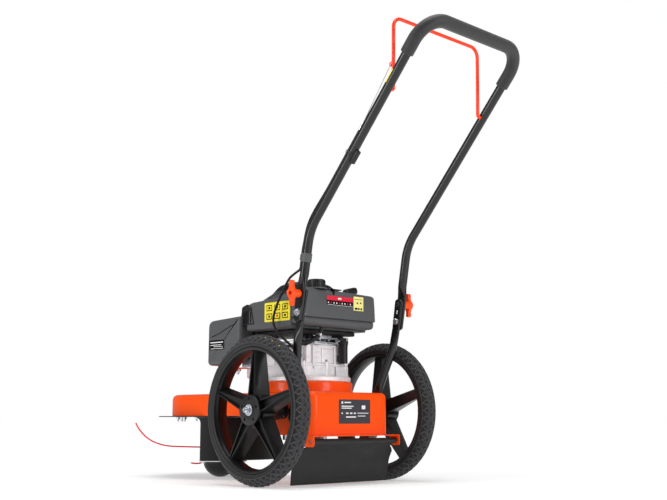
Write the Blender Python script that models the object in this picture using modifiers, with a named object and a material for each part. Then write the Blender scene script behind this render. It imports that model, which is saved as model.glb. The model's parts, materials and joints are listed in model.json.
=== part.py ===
"""Walk-behind wheeled string trimmer with a vertical-shaft petrol engine.

Metres, +Z up. The operator stands at +Y and faces -Y; +X is the operator's left.
Sizes are written from a point on the ground under the middle of the axle, and the
empty "machine" moves that point so that the origin is the middle of the base.
Moving pieces hang from an empty, or have their own origin, on the axis of their joint.
"""

from math import acos, asin, atan2, cos, pi, radians, sin, sqrt

import bmesh
import bpy
from mathutils import Matrix, Vector

# Clearances
GAP = 0.0003            # between pieces that touch
SLACK = 0.0005          # round a pin or shaft that turns

# Wheels and axle
WHEEL_R = 0.178
TRACK = 0.4314          # between the middle planes of the wheels
TYRE_W = 0.048
TYRE_H = 0.029
RIM_W = 0.042
RIM_WALL = 0.009
SPOKES = 5
SPOKE_ROOT = 0.034
SPOKE_TIP = 0.024
SPOKE_DEPTH = 0.030
HUB_R = 0.030
HUB_OUT = 0.0253        # outer hub face from the wheel's middle plane
HUB_IN = 0.0617
HUB_DISC_R = 0.0365
HUB_DISC_T = 0.006
AXLE_R = 0.006
AXLE_STUB = 0.015       # thread standing out of the hub
NUT_R = 0.0105
NUT_T = 0.006
WASHER_R = 0.0135
WASHER_T = 0.002

# Deck
DECK_HALF_W = 0.134
DECK_REAR = 0.100
DECK_TOP = 0.222
REAR_BOTTOM = 0.119
FRONT_BOTTOM = 0.165
SWEEP_REAR = -0.090     # the side's lower edge rises between these two
SWEEP_FRONT = -0.175
DECK_CORNER = 0.022
DECK_ROUND = 0.009
SHEET = 0.0025
ENGINE_Y = -0.069
HEAD_Y = -0.413
ENGINE_HOLE_R = 0.055
SEAT_R = 0.121
SEAT_H = 0.027

# Rear bracket, flap and its rod
FLANGE_FRONT = 0.088
FLANGE_REAR = 0.123
TAB_HALF = 0.147
TAB_DROP = 0.026
STRIP = 0.002
ROD_R = 0.003
ROD_Y = 0.112
ROD_Z = 0.105
FLAP_HALF_W = 0.163
FLAP_T = 0.003
FLAP_FOOT_Y = 0.060
FLAP_FOOT_Z = 0.004

# Trimmer end
GUARD_R = 0.171
GUARD_T = 0.0025
SKIRT_R = 0.165
SKIRT_T = 0.003
SKIRT_FOOT = 0.050
SKIRT_FROM = radians(33)
SKIRT_TO = radians(122)
SKIRT_FLARE = 0.016
CUTTER_W = 0.018
CUTTER_T = 0.0016
CUTTER_SPAN = radians(44)
SPINDLE_R = 0.009
HOUSING_R = 0.024
HOUSING_FLANGE = 0.045
HEAD_R = 0.0445
HEAD_TOP = 0.096
HEAD_FOOT = 0.0638
GLIDE_R = 0.047
LINE_R = 0.00195
LINE_Z = 0.080

# Belt drive
BELT_Z = 0.193
BELT_H = 0.009
BELT_T = 0.0055
DRIVE_R = 0.040
DRIVEN_R = 0.048
PULLEY_LIP = 0.0075
PULLEY_EDGE = 0.0035
DRUM_R = 0.056
DRUM_FOOT = 0.105
CRANK_R = 0.0115

# Handle: side view points are (y, z)
TUBE_X = 0.1715
TUBE_R = 0.011
TUBE_WALL = 0.0015
PIVOT = Vector((0.0985, 0.405))
BEND = Vector((0.133, 0.5975))
BAR = Vector((0.507, 1.0245))
CORNER_R = 0.062
BEND_R = 0.12
FLAT_T = 0.0080         # thickness of a flattened tube end
FLAT_W = 0.0270
LOCK_REACH = 0.044      # from the pivot bolt to the bolt of the knob
GRIP_R = 0.0155
GRIP_REACH = 0.095      # how far the foam runs down each side from the cross bar
PIVOT_BOLT_R = 0.004
LOCK_BOLT_R = 0.003
FOOT_X = 0.1405
FOOT = Vector((0.0523, 0.2222))
KNOB_SPAN = 0.061
KNOB_W = 0.016
KNOB_T = 0.012
BAIL_R = 0.003
BAIL_X = 0.152
BAIL_TOP = BAR + Vector((-0.118, 0.0355))
BAIL_PIVOT = BEND.lerp(BAR, 0.67685)     # on the tubes' middle line
CABLE_R = 0.0024
CLIP_UP = 0.130         # from the pivot bolt up the tube
CLIP_WALL = 0.0016
CLIP_TAIL = 0.018       # where the two lengths of conduit meet, below the clip's middle

# Engine
CASE_HALF = 0.082
CASE_TOP = 0.340
FILLER_X = -0.050
FILLER_Y = 0.0195
FILLER_R = 0.0115
FILLER_FOOT = 0.290
FILLER_TOP = 0.346
FLANGE_R = 0.117
FLANGE_T = 0.012
CYLINDER_R = 0.036
FIN_R = 0.047
FINS = 4
CYLINDER_Z = 0.312
CYLINDER_LEN = 0.072
HEAD_SIZE = 0.100
HEAD_T = 0.022
COVER_HALF = 0.130      # half width of tank and blower cover
TANK_REAR = 0.065
TANK_FRONT = 0.022
TANK_FOOT = 0.383
TANK_TOP = 0.477
BLOWER_R = 0.098
FLYWHEEL_R = 0.083
COVER_FRONT = -0.160
COVER_TOP = 0.462
STARTER_R = 0.088
STARTER_TOP = 0.504
COVER_WALL = 0.003
CAP_X = 0.066
CAP_Y = 0.0435
CAP_R = 0.0225
CAP_H = 0.021
AIRBOX_FRONT = -0.300
AIRBOX_REAR = -0.162
AIRBOX_FOOT = 0.294
AIRBOX_TOP = 0.419
AIRBOX_IN = 0.0853
AIRBOX_SPLIT = 0.098
AIRBOX_OUT = 0.140

AXLE_Z = WHEEL_R
WHEEL_X = TRACK / 2
UP_LOW = (BEND - PIVOT).normalized()
UP_HIGH = (BAR - BEND).normalized()
FRONT_END = HEAD_Y - GUARD_R
REAR_END = BAR.x + GRIP_R
AXLE_Y = -(FRONT_END + REAR_END) / 2
SEAT_TOP = DECK_TOP + GAP + SEAT_H

BLACK = ("black", "1E1E20", 0.45, 0.0)
GLOSS_BLACK = ("powder_black", "191919", 0.3, 0.0)
RUBBER = ("rubber", "2C2C2C", 0.85, 0.0)
ORANGE = ("orange_paint", "FF6412", 0.35, 0.0)
GREY_PLASTIC = ("grey_plastic", "4C4C4E", 0.5, 0.0)
CAST = ("cast_aluminium", "D2CFD0", 0.5, 0.8)
ZINC = ("zinc", "C9CCD2", 0.3, 1.0)
STEEL = ("steel", "8A8C90", 0.4, 1.0)
NYLON = ("red_nylon", "FF1133", 0.4, 0.0)


# ---------------------------------------------------------------- helpers

def linear(hexa):
    """sRGB hex to the linear values that Blender's colours hold."""
    values = [int(hexa[i:i + 2], 16) / 255 for i in (0, 2, 4)]
    return [v / 12.92 if v <= 0.04045 else ((v + 0.055) / 1.055) ** 2.4 for v in values] + [1.0]


def material(piece, kind):
    name, colour, roughness, metallic = kind
    mat = bpy.data.materials.new(f"{piece}_{name}")
    mat.use_nodes = True
    shader = mat.node_tree.nodes["Principled BSDF"]
    shader.inputs["Base Color"].default_value = linear(colour)
    shader.inputs["Roughness"].default_value = roughness
    shader.inputs["Metallic"].default_value = metallic
    mat.diffuse_color = linear(colour)
    return mat


def empty(name, place, parent=None):
    obj = bpy.data.objects.new(name, None)
    obj.empty_display_size = 0.03
    GUIDES.objects.link(obj)
    obj.parent = parent
    obj.location = place if parent is None else Vector(place) - PLACES[parent.name]
    PLACES[name] = Vector(place)
    return obj


def finish(obj, kind, parent, smooth=True):
    """Gives a piece its material, shading and collection, and hangs it from an empty."""
    PARTS.objects.link(obj)
    obj.data.materials.append(material(obj.name, kind))
    hang(obj, parent)
    if smooth and obj.type == "MESH":
        obj.data.shade_smooth()
        obj.data.set_sharp_from_angle(angle=radians(35))
    return obj


def hang(obj, parent):
    """The piece's location is written from the axle; under another empty it is counted from that."""
    obj.parent = parent
    if parent is not MACHINE:
        obj.location = Vector(obj.location) - PLACES[parent.name]


def mesh_object(name, bm, place=(0, 0, 0)):
    mesh = bpy.data.meshes.new(name)
    bm.to_mesh(mesh)
    bm.free()
    obj = bpy.data.objects.new(name, mesh)
    obj.location = place
    return obj


def block_mesh(size):
    bm = bmesh.new()
    bmesh.ops.create_cube(bm, size=1.0)
    bmesh.ops.scale(bm, vec=size, verts=bm.verts)
    return bm


def block(name, low, high, kind, parent=None, bevel=0.0, steps=2):
    """A box between two corners, with rounded edges."""
    low, high = Vector(low), Vector(high)
    obj = mesh_object(name, block_mesh(high - low), (low + high) / 2)
    finish(obj, kind, parent or MACHINE)
    if bevel:
        add_bevel(obj, bevel, steps)
    return obj


def add_bevel(obj, width, steps=2):
    bevel = obj.modifiers.new("rounded_edges", "BEVEL")
    bevel.width = width
    bevel.segments = steps
    bevel.limit_method = "ANGLE"
    bevel.angle_limit = radians(50)
    bevel.use_clamp_overlap = True
    return bevel


def profile_object(name, profile, steps):
    """A turned shape: (radius, height) points down the outside and back up the inside."""
    bm = bmesh.new()
    points = [bm.verts.new((r, 0, z)) for r, z in profile]
    for start, end in zip(points, points[1:]):
        bm.edges.new((start, end))
    if profile[0][0] > 0:
        bm.edges.new((points[-1], points[0]))
    obj = mesh_object(name, bm)
    screw = obj.modifiers.new("turned", "SCREW")
    screw.steps = steps
    screw.render_steps = steps
    screw.use_smooth_shade = True
    screw.use_merge_vertices = True
    screw.merge_threshold = 0.00001
    return obj


def turned(name, profile, kind, place, parent=None, steps=24, turn=None):
    """A turned piece whose axis is local Z, put at its place and turned if asked."""
    obj = profile_object(name, profile, steps)
    obj.location = place
    if turn is not None:
        obj.rotation_euler = turn.to_euler()
    return finish(obj, kind, parent or MACHINE, smooth=False)


def ring(outer, inner, foot, top):
    return [(outer, top), (outer, foot), (inner, foot), (inner, top)]


def rod(radius, foot, top):
    """A profile that closes on the axis."""
    return [(0.0, top), (radius, top), (radius, foot), (0.0, foot)]


def hidden(obj):
    """A cutter or a body to join: kept out of the render."""
    CUTTERS.objects.link(obj)
    obj.hide_render = True
    obj.display_type = "WIRE"
    return obj


def cutter_round(name, radius, place, length, axis="Z", steps=16):
    bm = bmesh.new()
    bmesh.ops.create_cone(bm, cap_ends=True, segments=steps, radius1=radius, radius2=radius, depth=length)
    if axis == "X":
        bmesh.ops.rotate(bm, verts=bm.verts, matrix=Matrix.Rotation(pi / 2, 3, "Y"))
    if axis == "Y":
        bmesh.ops.rotate(bm, verts=bm.verts, matrix=Matrix.Rotation(pi / 2, 3, "X"))
    obj = hidden(mesh_object(name, bm, place))
    obj.parent = MACHINE
    return obj


def boolean(obj, other, operation):
    step = obj.modifiers.new(other.name, "BOOLEAN")
    step.operation = operation
    step.solver = "EXACT"
    step.object = other
    return obj


def cut(obj, other):
    return boolean(obj, other, "DIFFERENCE")


def join(obj, other):
    return boolean(obj, other, "UNION")


def wall(obj, thickness, offset=-1.0):
    shell = obj.modifiers.new("wall", "SOLIDIFY")
    shell.thickness = thickness
    shell.offset = offset
    shell.use_even_offset = True
    return shell


def wire(name, points, radius, kind, parent=None, detail=2, closed=False):
    """A round wire, hose or rod along a list of points."""
    curve = bpy.data.curves.new(name, "CURVE")
    curve.dimensions = "3D"
    curve.bevel_depth = radius
    curve.bevel_resolution = detail
    curve.use_fill_caps = not closed
    spline = curve.splines.new("POLY")
    spline.points.add(len(points) - 1)
    for point, place in zip(spline.points, points):
        point.co = (*place, 1.0)
    spline.use_cyclic_u = closed
    spline.use_smooth = True
    obj = bpy.data.objects.new(name, curve)
    return finish(obj, kind, parent or MACHINE)


def smooth_route(points, spacing):
    """Evenly spaced points on a smooth curve through the given ones."""
    points = [Vector(p) for p in points]
    ends = [2 * points[0] - points[1], *points, 2 * points[-1] - points[-2]]
    fine = []
    for a, b, c, d in zip(ends, ends[1:], ends[2:], ends[3:]):
        for i in range(12):
            t = i / 12
            fine.append(0.5 * (2 * b + (c - a) * t + (2 * a - 5 * b + 4 * c - d) * t ** 2
                               + (3 * b - a - 3 * c + d) * t ** 3))
    fine.append(points[-1])
    lengths = [0.0]
    for start, end in zip(fine, fine[1:]):
        lengths.append(lengths[-1] + (end - start).length)
    count = max(2, round(lengths[-1] / spacing))
    route, at = [], 0
    for i in range(count + 1):
        goal = lengths[-1] * i / count
        while at < len(fine) - 2 and lengths[at + 1] < goal:
            at += 1
        share = (goal - lengths[at]) / (lengths[at + 1] - lengths[at])
        route.append(fine[at].lerp(fine[at + 1], min(1.0, share)))
    return route


def fillet(before, corner, after, radius, steps):
    """Points of the arc that rounds a corner between two straight runs."""
    before, corner, after = Vector(before), Vector(corner), Vector(after)
    back, on = (before - corner).normalized(), (after - corner).normalized()
    half = acos(max(-1.0, min(1.0, back.dot(on)))) / 2
    centre = corner + (back + on).normalized() * (radius / sin(half))
    reach = radius / (sin(half) / cos(half))
    start, end = corner + back * reach - centre, corner + on * reach - centre
    sweep = pi - 2 * half
    return [centre + (start * sin((1 - i / steps) * sweep) + end * sin(i / steps * sweep)) / sin(sweep)
            for i in range(steps + 1)]


def section(centre, across, along, half_a, half_b, power, sides):
    """A round, oval or flattened tube section; power 1 is an ellipse and less is squarer."""
    points = []
    for i in range(sides):
        angle = 2 * pi * i / sides
        c, s = cos(angle), sin(angle)
        a = half_a * (1 if c > 0 else -1) * abs(c) ** power
        b = half_b * (1 if s > 0 else -1) * abs(s) ** power
        points.append(centre + across * a + along * b)
    return points


def swept_surface(rings):
    """An open tube surface through rings of the same number of points, facing outwards."""
    bm = bmesh.new()
    grid = [[bm.verts.new(p) for p in points] for points in rings]
    for low, high in zip(grid, grid[1:]):
        for i in range(len(low)):
            j = (i + 1) % len(low)
            bm.faces.new((low[i], low[j], high[j], high[i]))
    return bm


def mirrored_mesh(obj, name):
    """A copy for the other side of the machine, turned the right way out."""
    bm = bmesh.new()
    bm.from_mesh(obj.data)
    bmesh.ops.scale(bm, vec=(-1, 1, 1), verts=bm.verts)
    bmesh.ops.reverse_faces(bm, faces=bm.faces)
    return mesh_object(name, bm, (-obj.location.x, obj.location.y, obj.location.z))


# ---------------------------------------------------------------- wheels

def wheel_turn(side):
    """Local Z points outwards, and one spoke points straight up on both sides."""
    if side > 0:
        return Matrix.Rotation(pi / 2, 4, "Y")
    return Matrix.Rotation(-pi / 2, 4, "Y") @ Matrix.Rotation(pi, 4, "Z")


def tyre_profile():
    inner = WHEEL_R - TYRE_H
    half = TYRE_W / 2
    crown = [(WHEEL_R - 0.020 * (i / 3) ** 2, half * i / 3) for i in range(-3, 4)]
    return [(inner, half * 0.86), *reversed(crown), (inner, -half * 0.86)]


def spoke(name):
    """One spoke on local -X: wide at the hub and narrow at the rim, from the hub into the rim wall."""
    rim_inner = WHEEL_R - TYRE_H - GAP - RIM_WALL
    bm = block_mesh((1, 1, SPOKE_DEPTH))
    start, end = HUB_R * 0.7, rim_inner + RIM_WALL / 2
    for vert in bm.verts:
        tip = vert.co.x < 0
        vert.co.x = -end if tip else -start
        vert.co.y *= SPOKE_TIP if tip else SPOKE_ROOT
    return mesh_object(name, bm)


def rim(name, side, parent):
    outer = WHEEL_R - TYRE_H - GAP
    half = RIM_W / 2
    obj = profile_object(name, ring(outer, outer - RIM_WALL, -half, half), 36)
    hub = profile_object(f"{name}_hub", [
        (HUB_DISC_R, HUB_OUT), (HUB_DISC_R, HUB_OUT - HUB_DISC_T), (HUB_R, HUB_OUT - HUB_DISC_T),
        (HUB_R, -HUB_IN), (AXLE_R + SLACK, -HUB_IN), (AXLE_R + SLACK, HUB_OUT)], 20)
    pieces = [hub]
    for i in range(SPOKES):
        arm = spoke(f"{name}_spoke_{i}")
        arm.data.transform(Matrix.Rotation(2 * pi * i / SPOKES, 4, "Z"))
        pieces.append(arm)
    obj.rotation_euler = wheel_turn(side).to_euler()
    obj.location = (side * WHEEL_X, 0, AXLE_Z)
    finish(obj, BLACK, parent, smooth=False)
    for piece in pieces:
        hidden(piece)
        piece.rotation_euler = obj.rotation_euler
        piece.parent = parent
        piece.location = obj.location
        join(obj, piece)
    return obj


def wheels():
    for side, word in ((1, "left"), (-1, "right")):
        spin = empty(f"{word}_wheel_spin", (side * WHEEL_X, 0, AXLE_Z), MACHINE)
        turned(f"{word}_tyre", tyre_profile(), RUBBER, (side * WHEEL_X, 0, AXLE_Z), spin, 36, wheel_turn(side))
        rim(f"{word}_rim", side, spin)
        nut_foot = WHEEL_X + HUB_OUT + GAP
        nut = [(NUT_R, WASHER_T + NUT_T), (NUT_R, WASHER_T), (WASHER_R, WASHER_T), (WASHER_R, 0),
               (AXLE_R + GAP, 0), (AXLE_R + GAP, WASHER_T + NUT_T)]
        turned(f"{word}_wheel_nut", nut, ZINC, (side * nut_foot, 0, AXLE_Z), None, 12, wheel_turn(side))
        boss = [(0.021, 0.006), (0.021, 0), (AXLE_R + GAP, 0), (AXLE_R + GAP, 0.0135), (0.011, 0.0135),
                (0.011, 0.006)]
        boss_foot = DECK_HALF_W + GAP
        turned(f"{word}_axle_boss", boss, BLACK, (side * boss_foot, 0, AXLE_Z), None, 20, wheel_turn(side))
    end = WHEEL_X + HUB_OUT + AXLE_STUB
    turned("axle", rod(AXLE_R, -end, end), ZINC, (0, 0, AXLE_Z), None, 16, wheel_turn(1))


# ---------------------------------------------------------------- deck

def lower_edge(y):
    """Height of the deck's lower edge: low at the rear, high under the trimmer end."""
    share = max(0.0, min(1.0, (SWEEP_REAR - y) / (SWEEP_REAR - SWEEP_FRONT)))
    return REAR_BOTTOM + (FRONT_BOTTOM - REAR_BOTTOM) * (3 - 2 * share) * share ** 2


def deck_outline():
    """The deck from above: square rear with round corners, straight sides, half-round front."""
    half, corner = DECK_HALF_W, DECK_CORNER
    points = [(half - corner + corner * sin(a), DECK_REAR - corner + corner * cos(a))
              for a in (radians(22.5) * i for i in range(5))]
    span = SWEEP_REAR - SWEEP_FRONT
    points += [(half, SWEEP_REAR - span * i / 6) for i in range(7)]
    points += [(half * cos(a), HEAD_Y - half * sin(a)) for a in (radians(11.25) * i for i in range(17))]
    points += [(-half, SWEEP_FRONT + span * i / 6) for i in range(7)]
    points += [(-half + corner - corner * cos(a), DECK_REAR - corner + corner * sin(a))
               for a in (radians(22.5) * i for i in range(5))]
    return points


def deck():
    bm = bmesh.new()
    outline = deck_outline()
    top = [bm.verts.new((x, y, DECK_TOP)) for x, y in outline]
    foot = [bm.verts.new((x, y, lower_edge(y))) for x, y in outline]
    bm.faces.new(reversed(top))
    for i in range(len(top)):
        j = (i + 1) % len(top)
        bm.faces.new((top[i], top[j], foot[j], foot[i]))
    obj = finish(mesh_object("deck", bm), ORANGE, MACHINE)
    add_bevel(obj, DECK_ROUND, 3).angle_limit = radians(60)
    wall(obj, SHEET)
    cut(obj, cutter_round("crank_hole", ENGINE_HOLE_R, (0, ENGINE_Y, DECK_TOP), 0.02, steps=24))
    cut(obj, cutter_round("spindle_hole", SPINDLE_R + 0.006, (0, HEAD_Y, DECK_TOP), 0.02))
    cut(obj, cutter_round("axle_holes", AXLE_R + GAP, (0, 0, AXLE_Z), 3 * DECK_HALF_W, "X"))
    return obj


def engine_seat():
    """Raised round pressing that carries the engine's flange."""
    skin = 0.0022
    seat = [(SEAT_R, SEAT_H - 0.005), (SEAT_R + 0.004, 0), (SEAT_R, 0), (SEAT_R - skin, SEAT_H - skin),
            (ENGINE_HOLE_R, SEAT_H - skin), (ENGINE_HOLE_R, SEAT_H), (SEAT_R - 0.005, SEAT_H)]
    turned("engine_seat", seat, ORANGE, (0, ENGINE_Y, DECK_TOP + GAP), None, 28)


def rear_bracket():
    """A strip under the deck's rear edge whose ends are bent down to hold the flap's rod."""
    top = REAR_BOTTOM - GAP
    bm = bmesh.new()
    side = [(-TAB_HALF, top - TAB_DROP), (-TAB_HALF, top), (TAB_HALF, top), (TAB_HALF, top - TAB_DROP)]
    front = [bm.verts.new((x, FLANGE_FRONT, z)) for x, z in side]
    rear = [bm.verts.new((x, FLANGE_REAR, z)) for x, z in side]
    for i in range(3):
        bm.faces.new((front[i], rear[i], rear[i + 1], front[i + 1]))
    bmesh.ops.reverse_faces(bm, faces=bm.faces)
    obj = finish(mesh_object("rear_bracket", bm), ORANGE, MACHINE, smooth=False)
    wall(obj, STRIP)
    cut(obj, cutter_round("rod_holes", ROD_R + GAP, (0, ROD_Y, ROD_Z), 3 * TAB_HALF, "X", 12))
    end = TAB_HALF + 0.004
    turned("flap_rod", rod(ROD_R, -end, end), STEEL, (0, ROD_Y, ROD_Z), None, 12, wheel_turn(1))


def flap_line():
    """Side view of the flap's middle surface, from under the rod down to its foot."""
    start = Vector((ROD_Y - ROD_R - SLACK - FLAP_T / 2, ROD_Z))
    points = [start, Vector((0.095, 0.094)), Vector((0.084, 0.084)), Vector((0.075, 0.072)), Vector((0.0675, 0.055)),
              Vector((0.0625, 0.030)), Vector((FLAP_FOOT_Y, FLAP_FOOT_Z))]
    return points


def rear_flap():
    swing = empty("flap_swing", (0, ROD_Y, ROD_Z), MACHINE)
    inner = ROD_R + SLACK
    eye = TAB_HALF - STRIP - 0.002
    loop = profile_object("flap_eye", ring(inner + FLAP_T, inner, -eye, eye), 16)
    loop.rotation_euler = wheel_turn(1).to_euler()
    bm = bmesh.new()
    rows = []
    for point in flap_line():
        half = FLAP_HALF_W if point.y < REAR_BOTTOM - GAP - TAB_DROP - 0.010 else eye
        rows.append([bm.verts.new((x, point.x, point.y)) for x in (-half, half)])
    for high, low in zip(rows, rows[1:]):
        bm.faces.new((high[0], high[1], low[1], low[0]))
    obj = mesh_object("rear_flap", bm)
    finish(obj, RUBBER, swing, smooth=False)
    wall(obj, FLAP_T, 0.0)
    hidden(loop)
    loop.parent = swing
    join(obj, loop)
    return obj


# ---------------------------------------------------------------- trimmer end

def arc_points(radius, start, end, steps):
    return [(radius * cos(start + (end - start) * i / steps), radius * sin(start + (end - start) * i / steps))
            for i in range(steps + 1)]


def guard():
    top = FRONT_BOTTOM - GAP
    turned("guard_plate", ring(GUARD_R, HOUSING_R + GAP, top - GUARD_T, top), BLACK, (0, HEAD_Y, 0), None, 36)
    head = top - GUARD_T - GAP
    bm = bmesh.new()
    rows, columns = 6, 14
    grid = []
    for j in range(rows + 1):
        z = head + (SKIRT_FOOT - head) * (j / rows) ** 1.6
        drop = min(1.0, (head - z) / SKIRT_FLARE)
        flare = SKIRT_FLARE * (1 - sqrt(1 - (1 - drop) ** 2))
        start = SKIRT_FROM - flare / SKIRT_R
        ring_points = arc_points(SKIRT_R - SKIRT_T / 2, start, SKIRT_TO, columns)
        grid.append([bm.verts.new((x, y, z)) for x, y in ring_points])
    for high, low in zip(grid, grid[1:]):
        for i in range(columns):
            bm.faces.new((high[i], low[i], low[i + 1], high[i + 1]))
    obj = finish(mesh_object("debris_skirt", bm, (0, HEAD_Y, 0)), BLACK, MACHINE)
    wall(obj, SKIRT_T, 0.0)
    blade(SKIRT_FOOT - GAP)


def blade(top):
    """The line cutter: a thin curved knife under the skirt's leading end."""
    bm = bmesh.new()
    start, end = SKIRT_FROM - radians(1), SKIRT_FROM + CUTTER_SPAN
    outer = [bm.verts.new((x, y, 0)) for x, y in arc_points(SKIRT_R, start, end, 8)]
    inner = [bm.verts.new((x, y, 0)) for x, y in arc_points(SKIRT_R - CUTTER_W, start, end, 8)]
    for i in range(8):
        bm.faces.new((outer[i], outer[i + 1], inner[i + 1], inner[i]))
    obj = finish(mesh_object("line_cutter", bm, (0, HEAD_Y, top)), ZINC, MACHINE, smooth=False)
    wall(obj, CUTTER_T)


def spindle():
    """Bearing housing on the guard plate, and everything that turns in it."""
    seat = FRONT_BOTTOM + GAP
    foot = HEAD_TOP + 0.010
    housing = [(HOUSING_R, seat + 0.014), (HOUSING_R, seat + 0.004), (HOUSING_FLANGE, seat + 0.004),
               (HOUSING_FLANGE, seat), (HOUSING_R, seat), (HOUSING_R, foot),
               (SPINDLE_R + SLACK, foot), (SPINDLE_R + SLACK, seat + 0.014)]
    turned("spindle_housing", housing, CAST, (0, HEAD_Y, 0), None, 20)
    spin = empty("trimmer_head_spin", (0, HEAD_Y, 0), MACHINE)
    turned("trimmer_spindle", rod(SPINDLE_R, HEAD_TOP + GAP, BELT_Z + 0.020), STEEL, (0, HEAD_Y, 0), spin, 16)
    turned("driven_pulley", pulley_profile(DRIVEN_R, SPINDLE_R), CAST, (0, HEAD_Y, 0), spin, 24)
    head = [(0.0, HEAD_TOP), (0.030, HEAD_TOP), (HEAD_R, HEAD_TOP - 0.010), (HEAD_R, HEAD_FOOT + 0.006),
            (HEAD_R - 0.004, HEAD_FOOT), (0.0, HEAD_FOOT)]
    turned("trimmer_head", head, BLACK, (0, HEAD_Y, 0), spin, 24)
    for number, points in enumerate(LINES, 1):
        route = smooth_route([Vector(p) + Vector((0, HEAD_Y, 0)) for p in points], 0.010)
        wire(f"trimmer_line_{number}", route, LINE_R, NYLON, spin)
    glide = empty("glide_cup_spin", (0, HEAD_Y, 0), MACHINE)
    dome = [(GLIDE_R * sin(a), GLIDE_R * (1 - cos(a)) * 0.98) for a in (radians(15) * i for i in range(7))]
    cup = [(0.0, HEAD_FOOT - GAP), (GLIDE_R - 0.006, HEAD_FOOT - GAP), (GLIDE_R, HEAD_FOOT - 0.004),
           *reversed(dome)]
    turned("glide_cup", cup, BLACK, (0, HEAD_Y, 0), glide, 24)


def head_exit(angle):
    """Where a line leaves the trimmer head."""
    reach = HEAD_R + LINE_R
    return Vector((reach * cos(angle), reach * sin(angle), LINE_Z))


def cutting_lines():
    """Each free end of cutting line, from the head outwards."""
    first = [head_exit(radians(-44)), (0.0700, -0.0676, 0.0812), (0.1050, -0.1014, 0.0835),
             (0.1300, -0.1255, 0.0925), (0.1480, -0.1429, 0.1070), (0.1630, -0.1574, 0.1290),
             (0.1700, -0.1641, 0.1460)]
    second = [head_exit(radians(46)), (0.0560, 0.0500, 0.0740), (0.0850, 0.0610, 0.0560),
              (0.1120, 0.0640, 0.0430), (0.1390, 0.0700, 0.0420), (0.1530, 0.0735, 0.0440)]
    return first, second


LINES = cutting_lines()


# ---------------------------------------------------------------- belt drive

def pulley_profile(root, bore, foot=None, drum=None):
    """A flat groove between two lips; the drive pulley also has a clutch drum below it."""
    half = BELT_H / 2 + 0.0008
    lip = root + PULLEY_LIP
    inner = bore + GAP
    profile = [(lip, BELT_Z + half + PULLEY_EDGE), (lip, BELT_Z + half), (root, BELT_Z + half),
               (root, BELT_Z - half), (lip, BELT_Z - half), (lip, BELT_Z - half - PULLEY_EDGE)]
    if drum:
        profile += [(drum, BELT_Z - half - PULLEY_EDGE), (drum, foot), (drum - 0.003, foot),
                    (drum - 0.003, BELT_Z - half - PULLEY_EDGE - 0.003),
                    (inner + 0.006, BELT_Z - half - PULLEY_EDGE - 0.003), (inner + 0.006, foot + 0.02),
                    (inner, foot + 0.02)]
    else:
        profile += [(inner, BELT_Z - half - PULLEY_EDGE)]
    return profile + [(inner, BELT_Z + half + PULLEY_EDGE)]


def belt():
    """The belt's inner face lies on both pulley roots; it is straight between them."""
    span = ENGINE_Y - HEAD_Y
    small, large = DRIVE_R + GAP, DRIVEN_R + GAP
    lean = asin((large - small) / span)
    points = [(small * cos(a), ENGINE_Y + small * sin(a))
              for a in (-lean + (pi + 2 * lean) * i / 16 for i in range(17))]
    points += [(large * cos(a), HEAD_Y + large * sin(a))
               for a in (pi + lean + (pi - 2 * lean) * i / 16 for i in range(17))]
    bm = bmesh.new()
    low = [bm.verts.new((x, y, BELT_Z - BELT_H / 2)) for x, y in points]
    high = [bm.verts.new((x, y, BELT_Z + BELT_H / 2)) for x, y in points]
    for i in range(len(points)):
        j = (i + 1) % len(points)
        bm.faces.new((low[i], low[j], high[j], high[i]))
    obj = finish(mesh_object("drive_belt", bm), RUBBER, MACHINE)
    wall(obj, BELT_T, 1.0)


# ---------------------------------------------------------------- engine

def crank_train():
    spin = empty("crank_spin", (0, ENGINE_Y, 0), MACHINE)
    turned("crankshaft", rod(CRANK_R, DRUM_FOOT + 0.012, COVER_TOP - 0.012), STEEL, (0, ENGINE_Y, 0), spin, 16)
    turned("drive_pulley", pulley_profile(DRIVE_R, CRANK_R, DRUM_FOOT, DRUM_R), ZINC, (0, ENGINE_Y, 0), spin, 24)
    foot, top = 0.402, 0.424
    wheel = [(FLYWHEEL_R, top), (FLYWHEEL_R, foot), (CRANK_R + GAP, foot), (CRANK_R + GAP, top + 0.012),
             (0.024, top + 0.012), (0.024, top - 0.008), (FLYWHEEL_R - 0.010, top - 0.008),
             (FLYWHEEL_R - 0.010, top)]
    turned("flywheel", wheel, CAST, (0, ENGINE_Y, 0), spin, 24)


def crankcase():
    foot = SEAT_TOP + GAP
    half = CASE_HALF
    obj = block("crankcase", (-half, ENGINE_Y - half, foot + 0.002), (half, ENGINE_Y + half, CASE_TOP), CAST,
                None, 0.010)
    flange = profile_object("crankcase_flange", rod(FLANGE_R, foot, foot + FLANGE_T), 28)
    hidden(flange)
    flange.parent = MACHINE
    flange.location = (0, ENGINE_Y, 0)
    join(obj, flange)
    filler = cutter_round("oil_filler", FILLER_R, (FILLER_X, FILLER_Y, (FILLER_FOOT + FILLER_TOP) / 2),
                          FILLER_TOP - FILLER_FOOT)
    join(obj, filler)
    depth = 2 * (FILLER_TOP - FILLER_FOOT - 0.004)
    cut(obj, cutter_round("filler_bore", FILLER_R - 0.003, (FILLER_X, FILLER_Y, FILLER_TOP), depth))
    cut(obj, cutter_round("crank_bore", CRANK_R + SLACK, (0, ENGINE_Y, CASE_TOP), 1.0))


def along_y(back):
    """Turns local Z to point to -Y, or to +Y when back is set."""
    return Matrix.Rotation(-pi / 2 if back else pi / 2, 4, "X")


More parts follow.
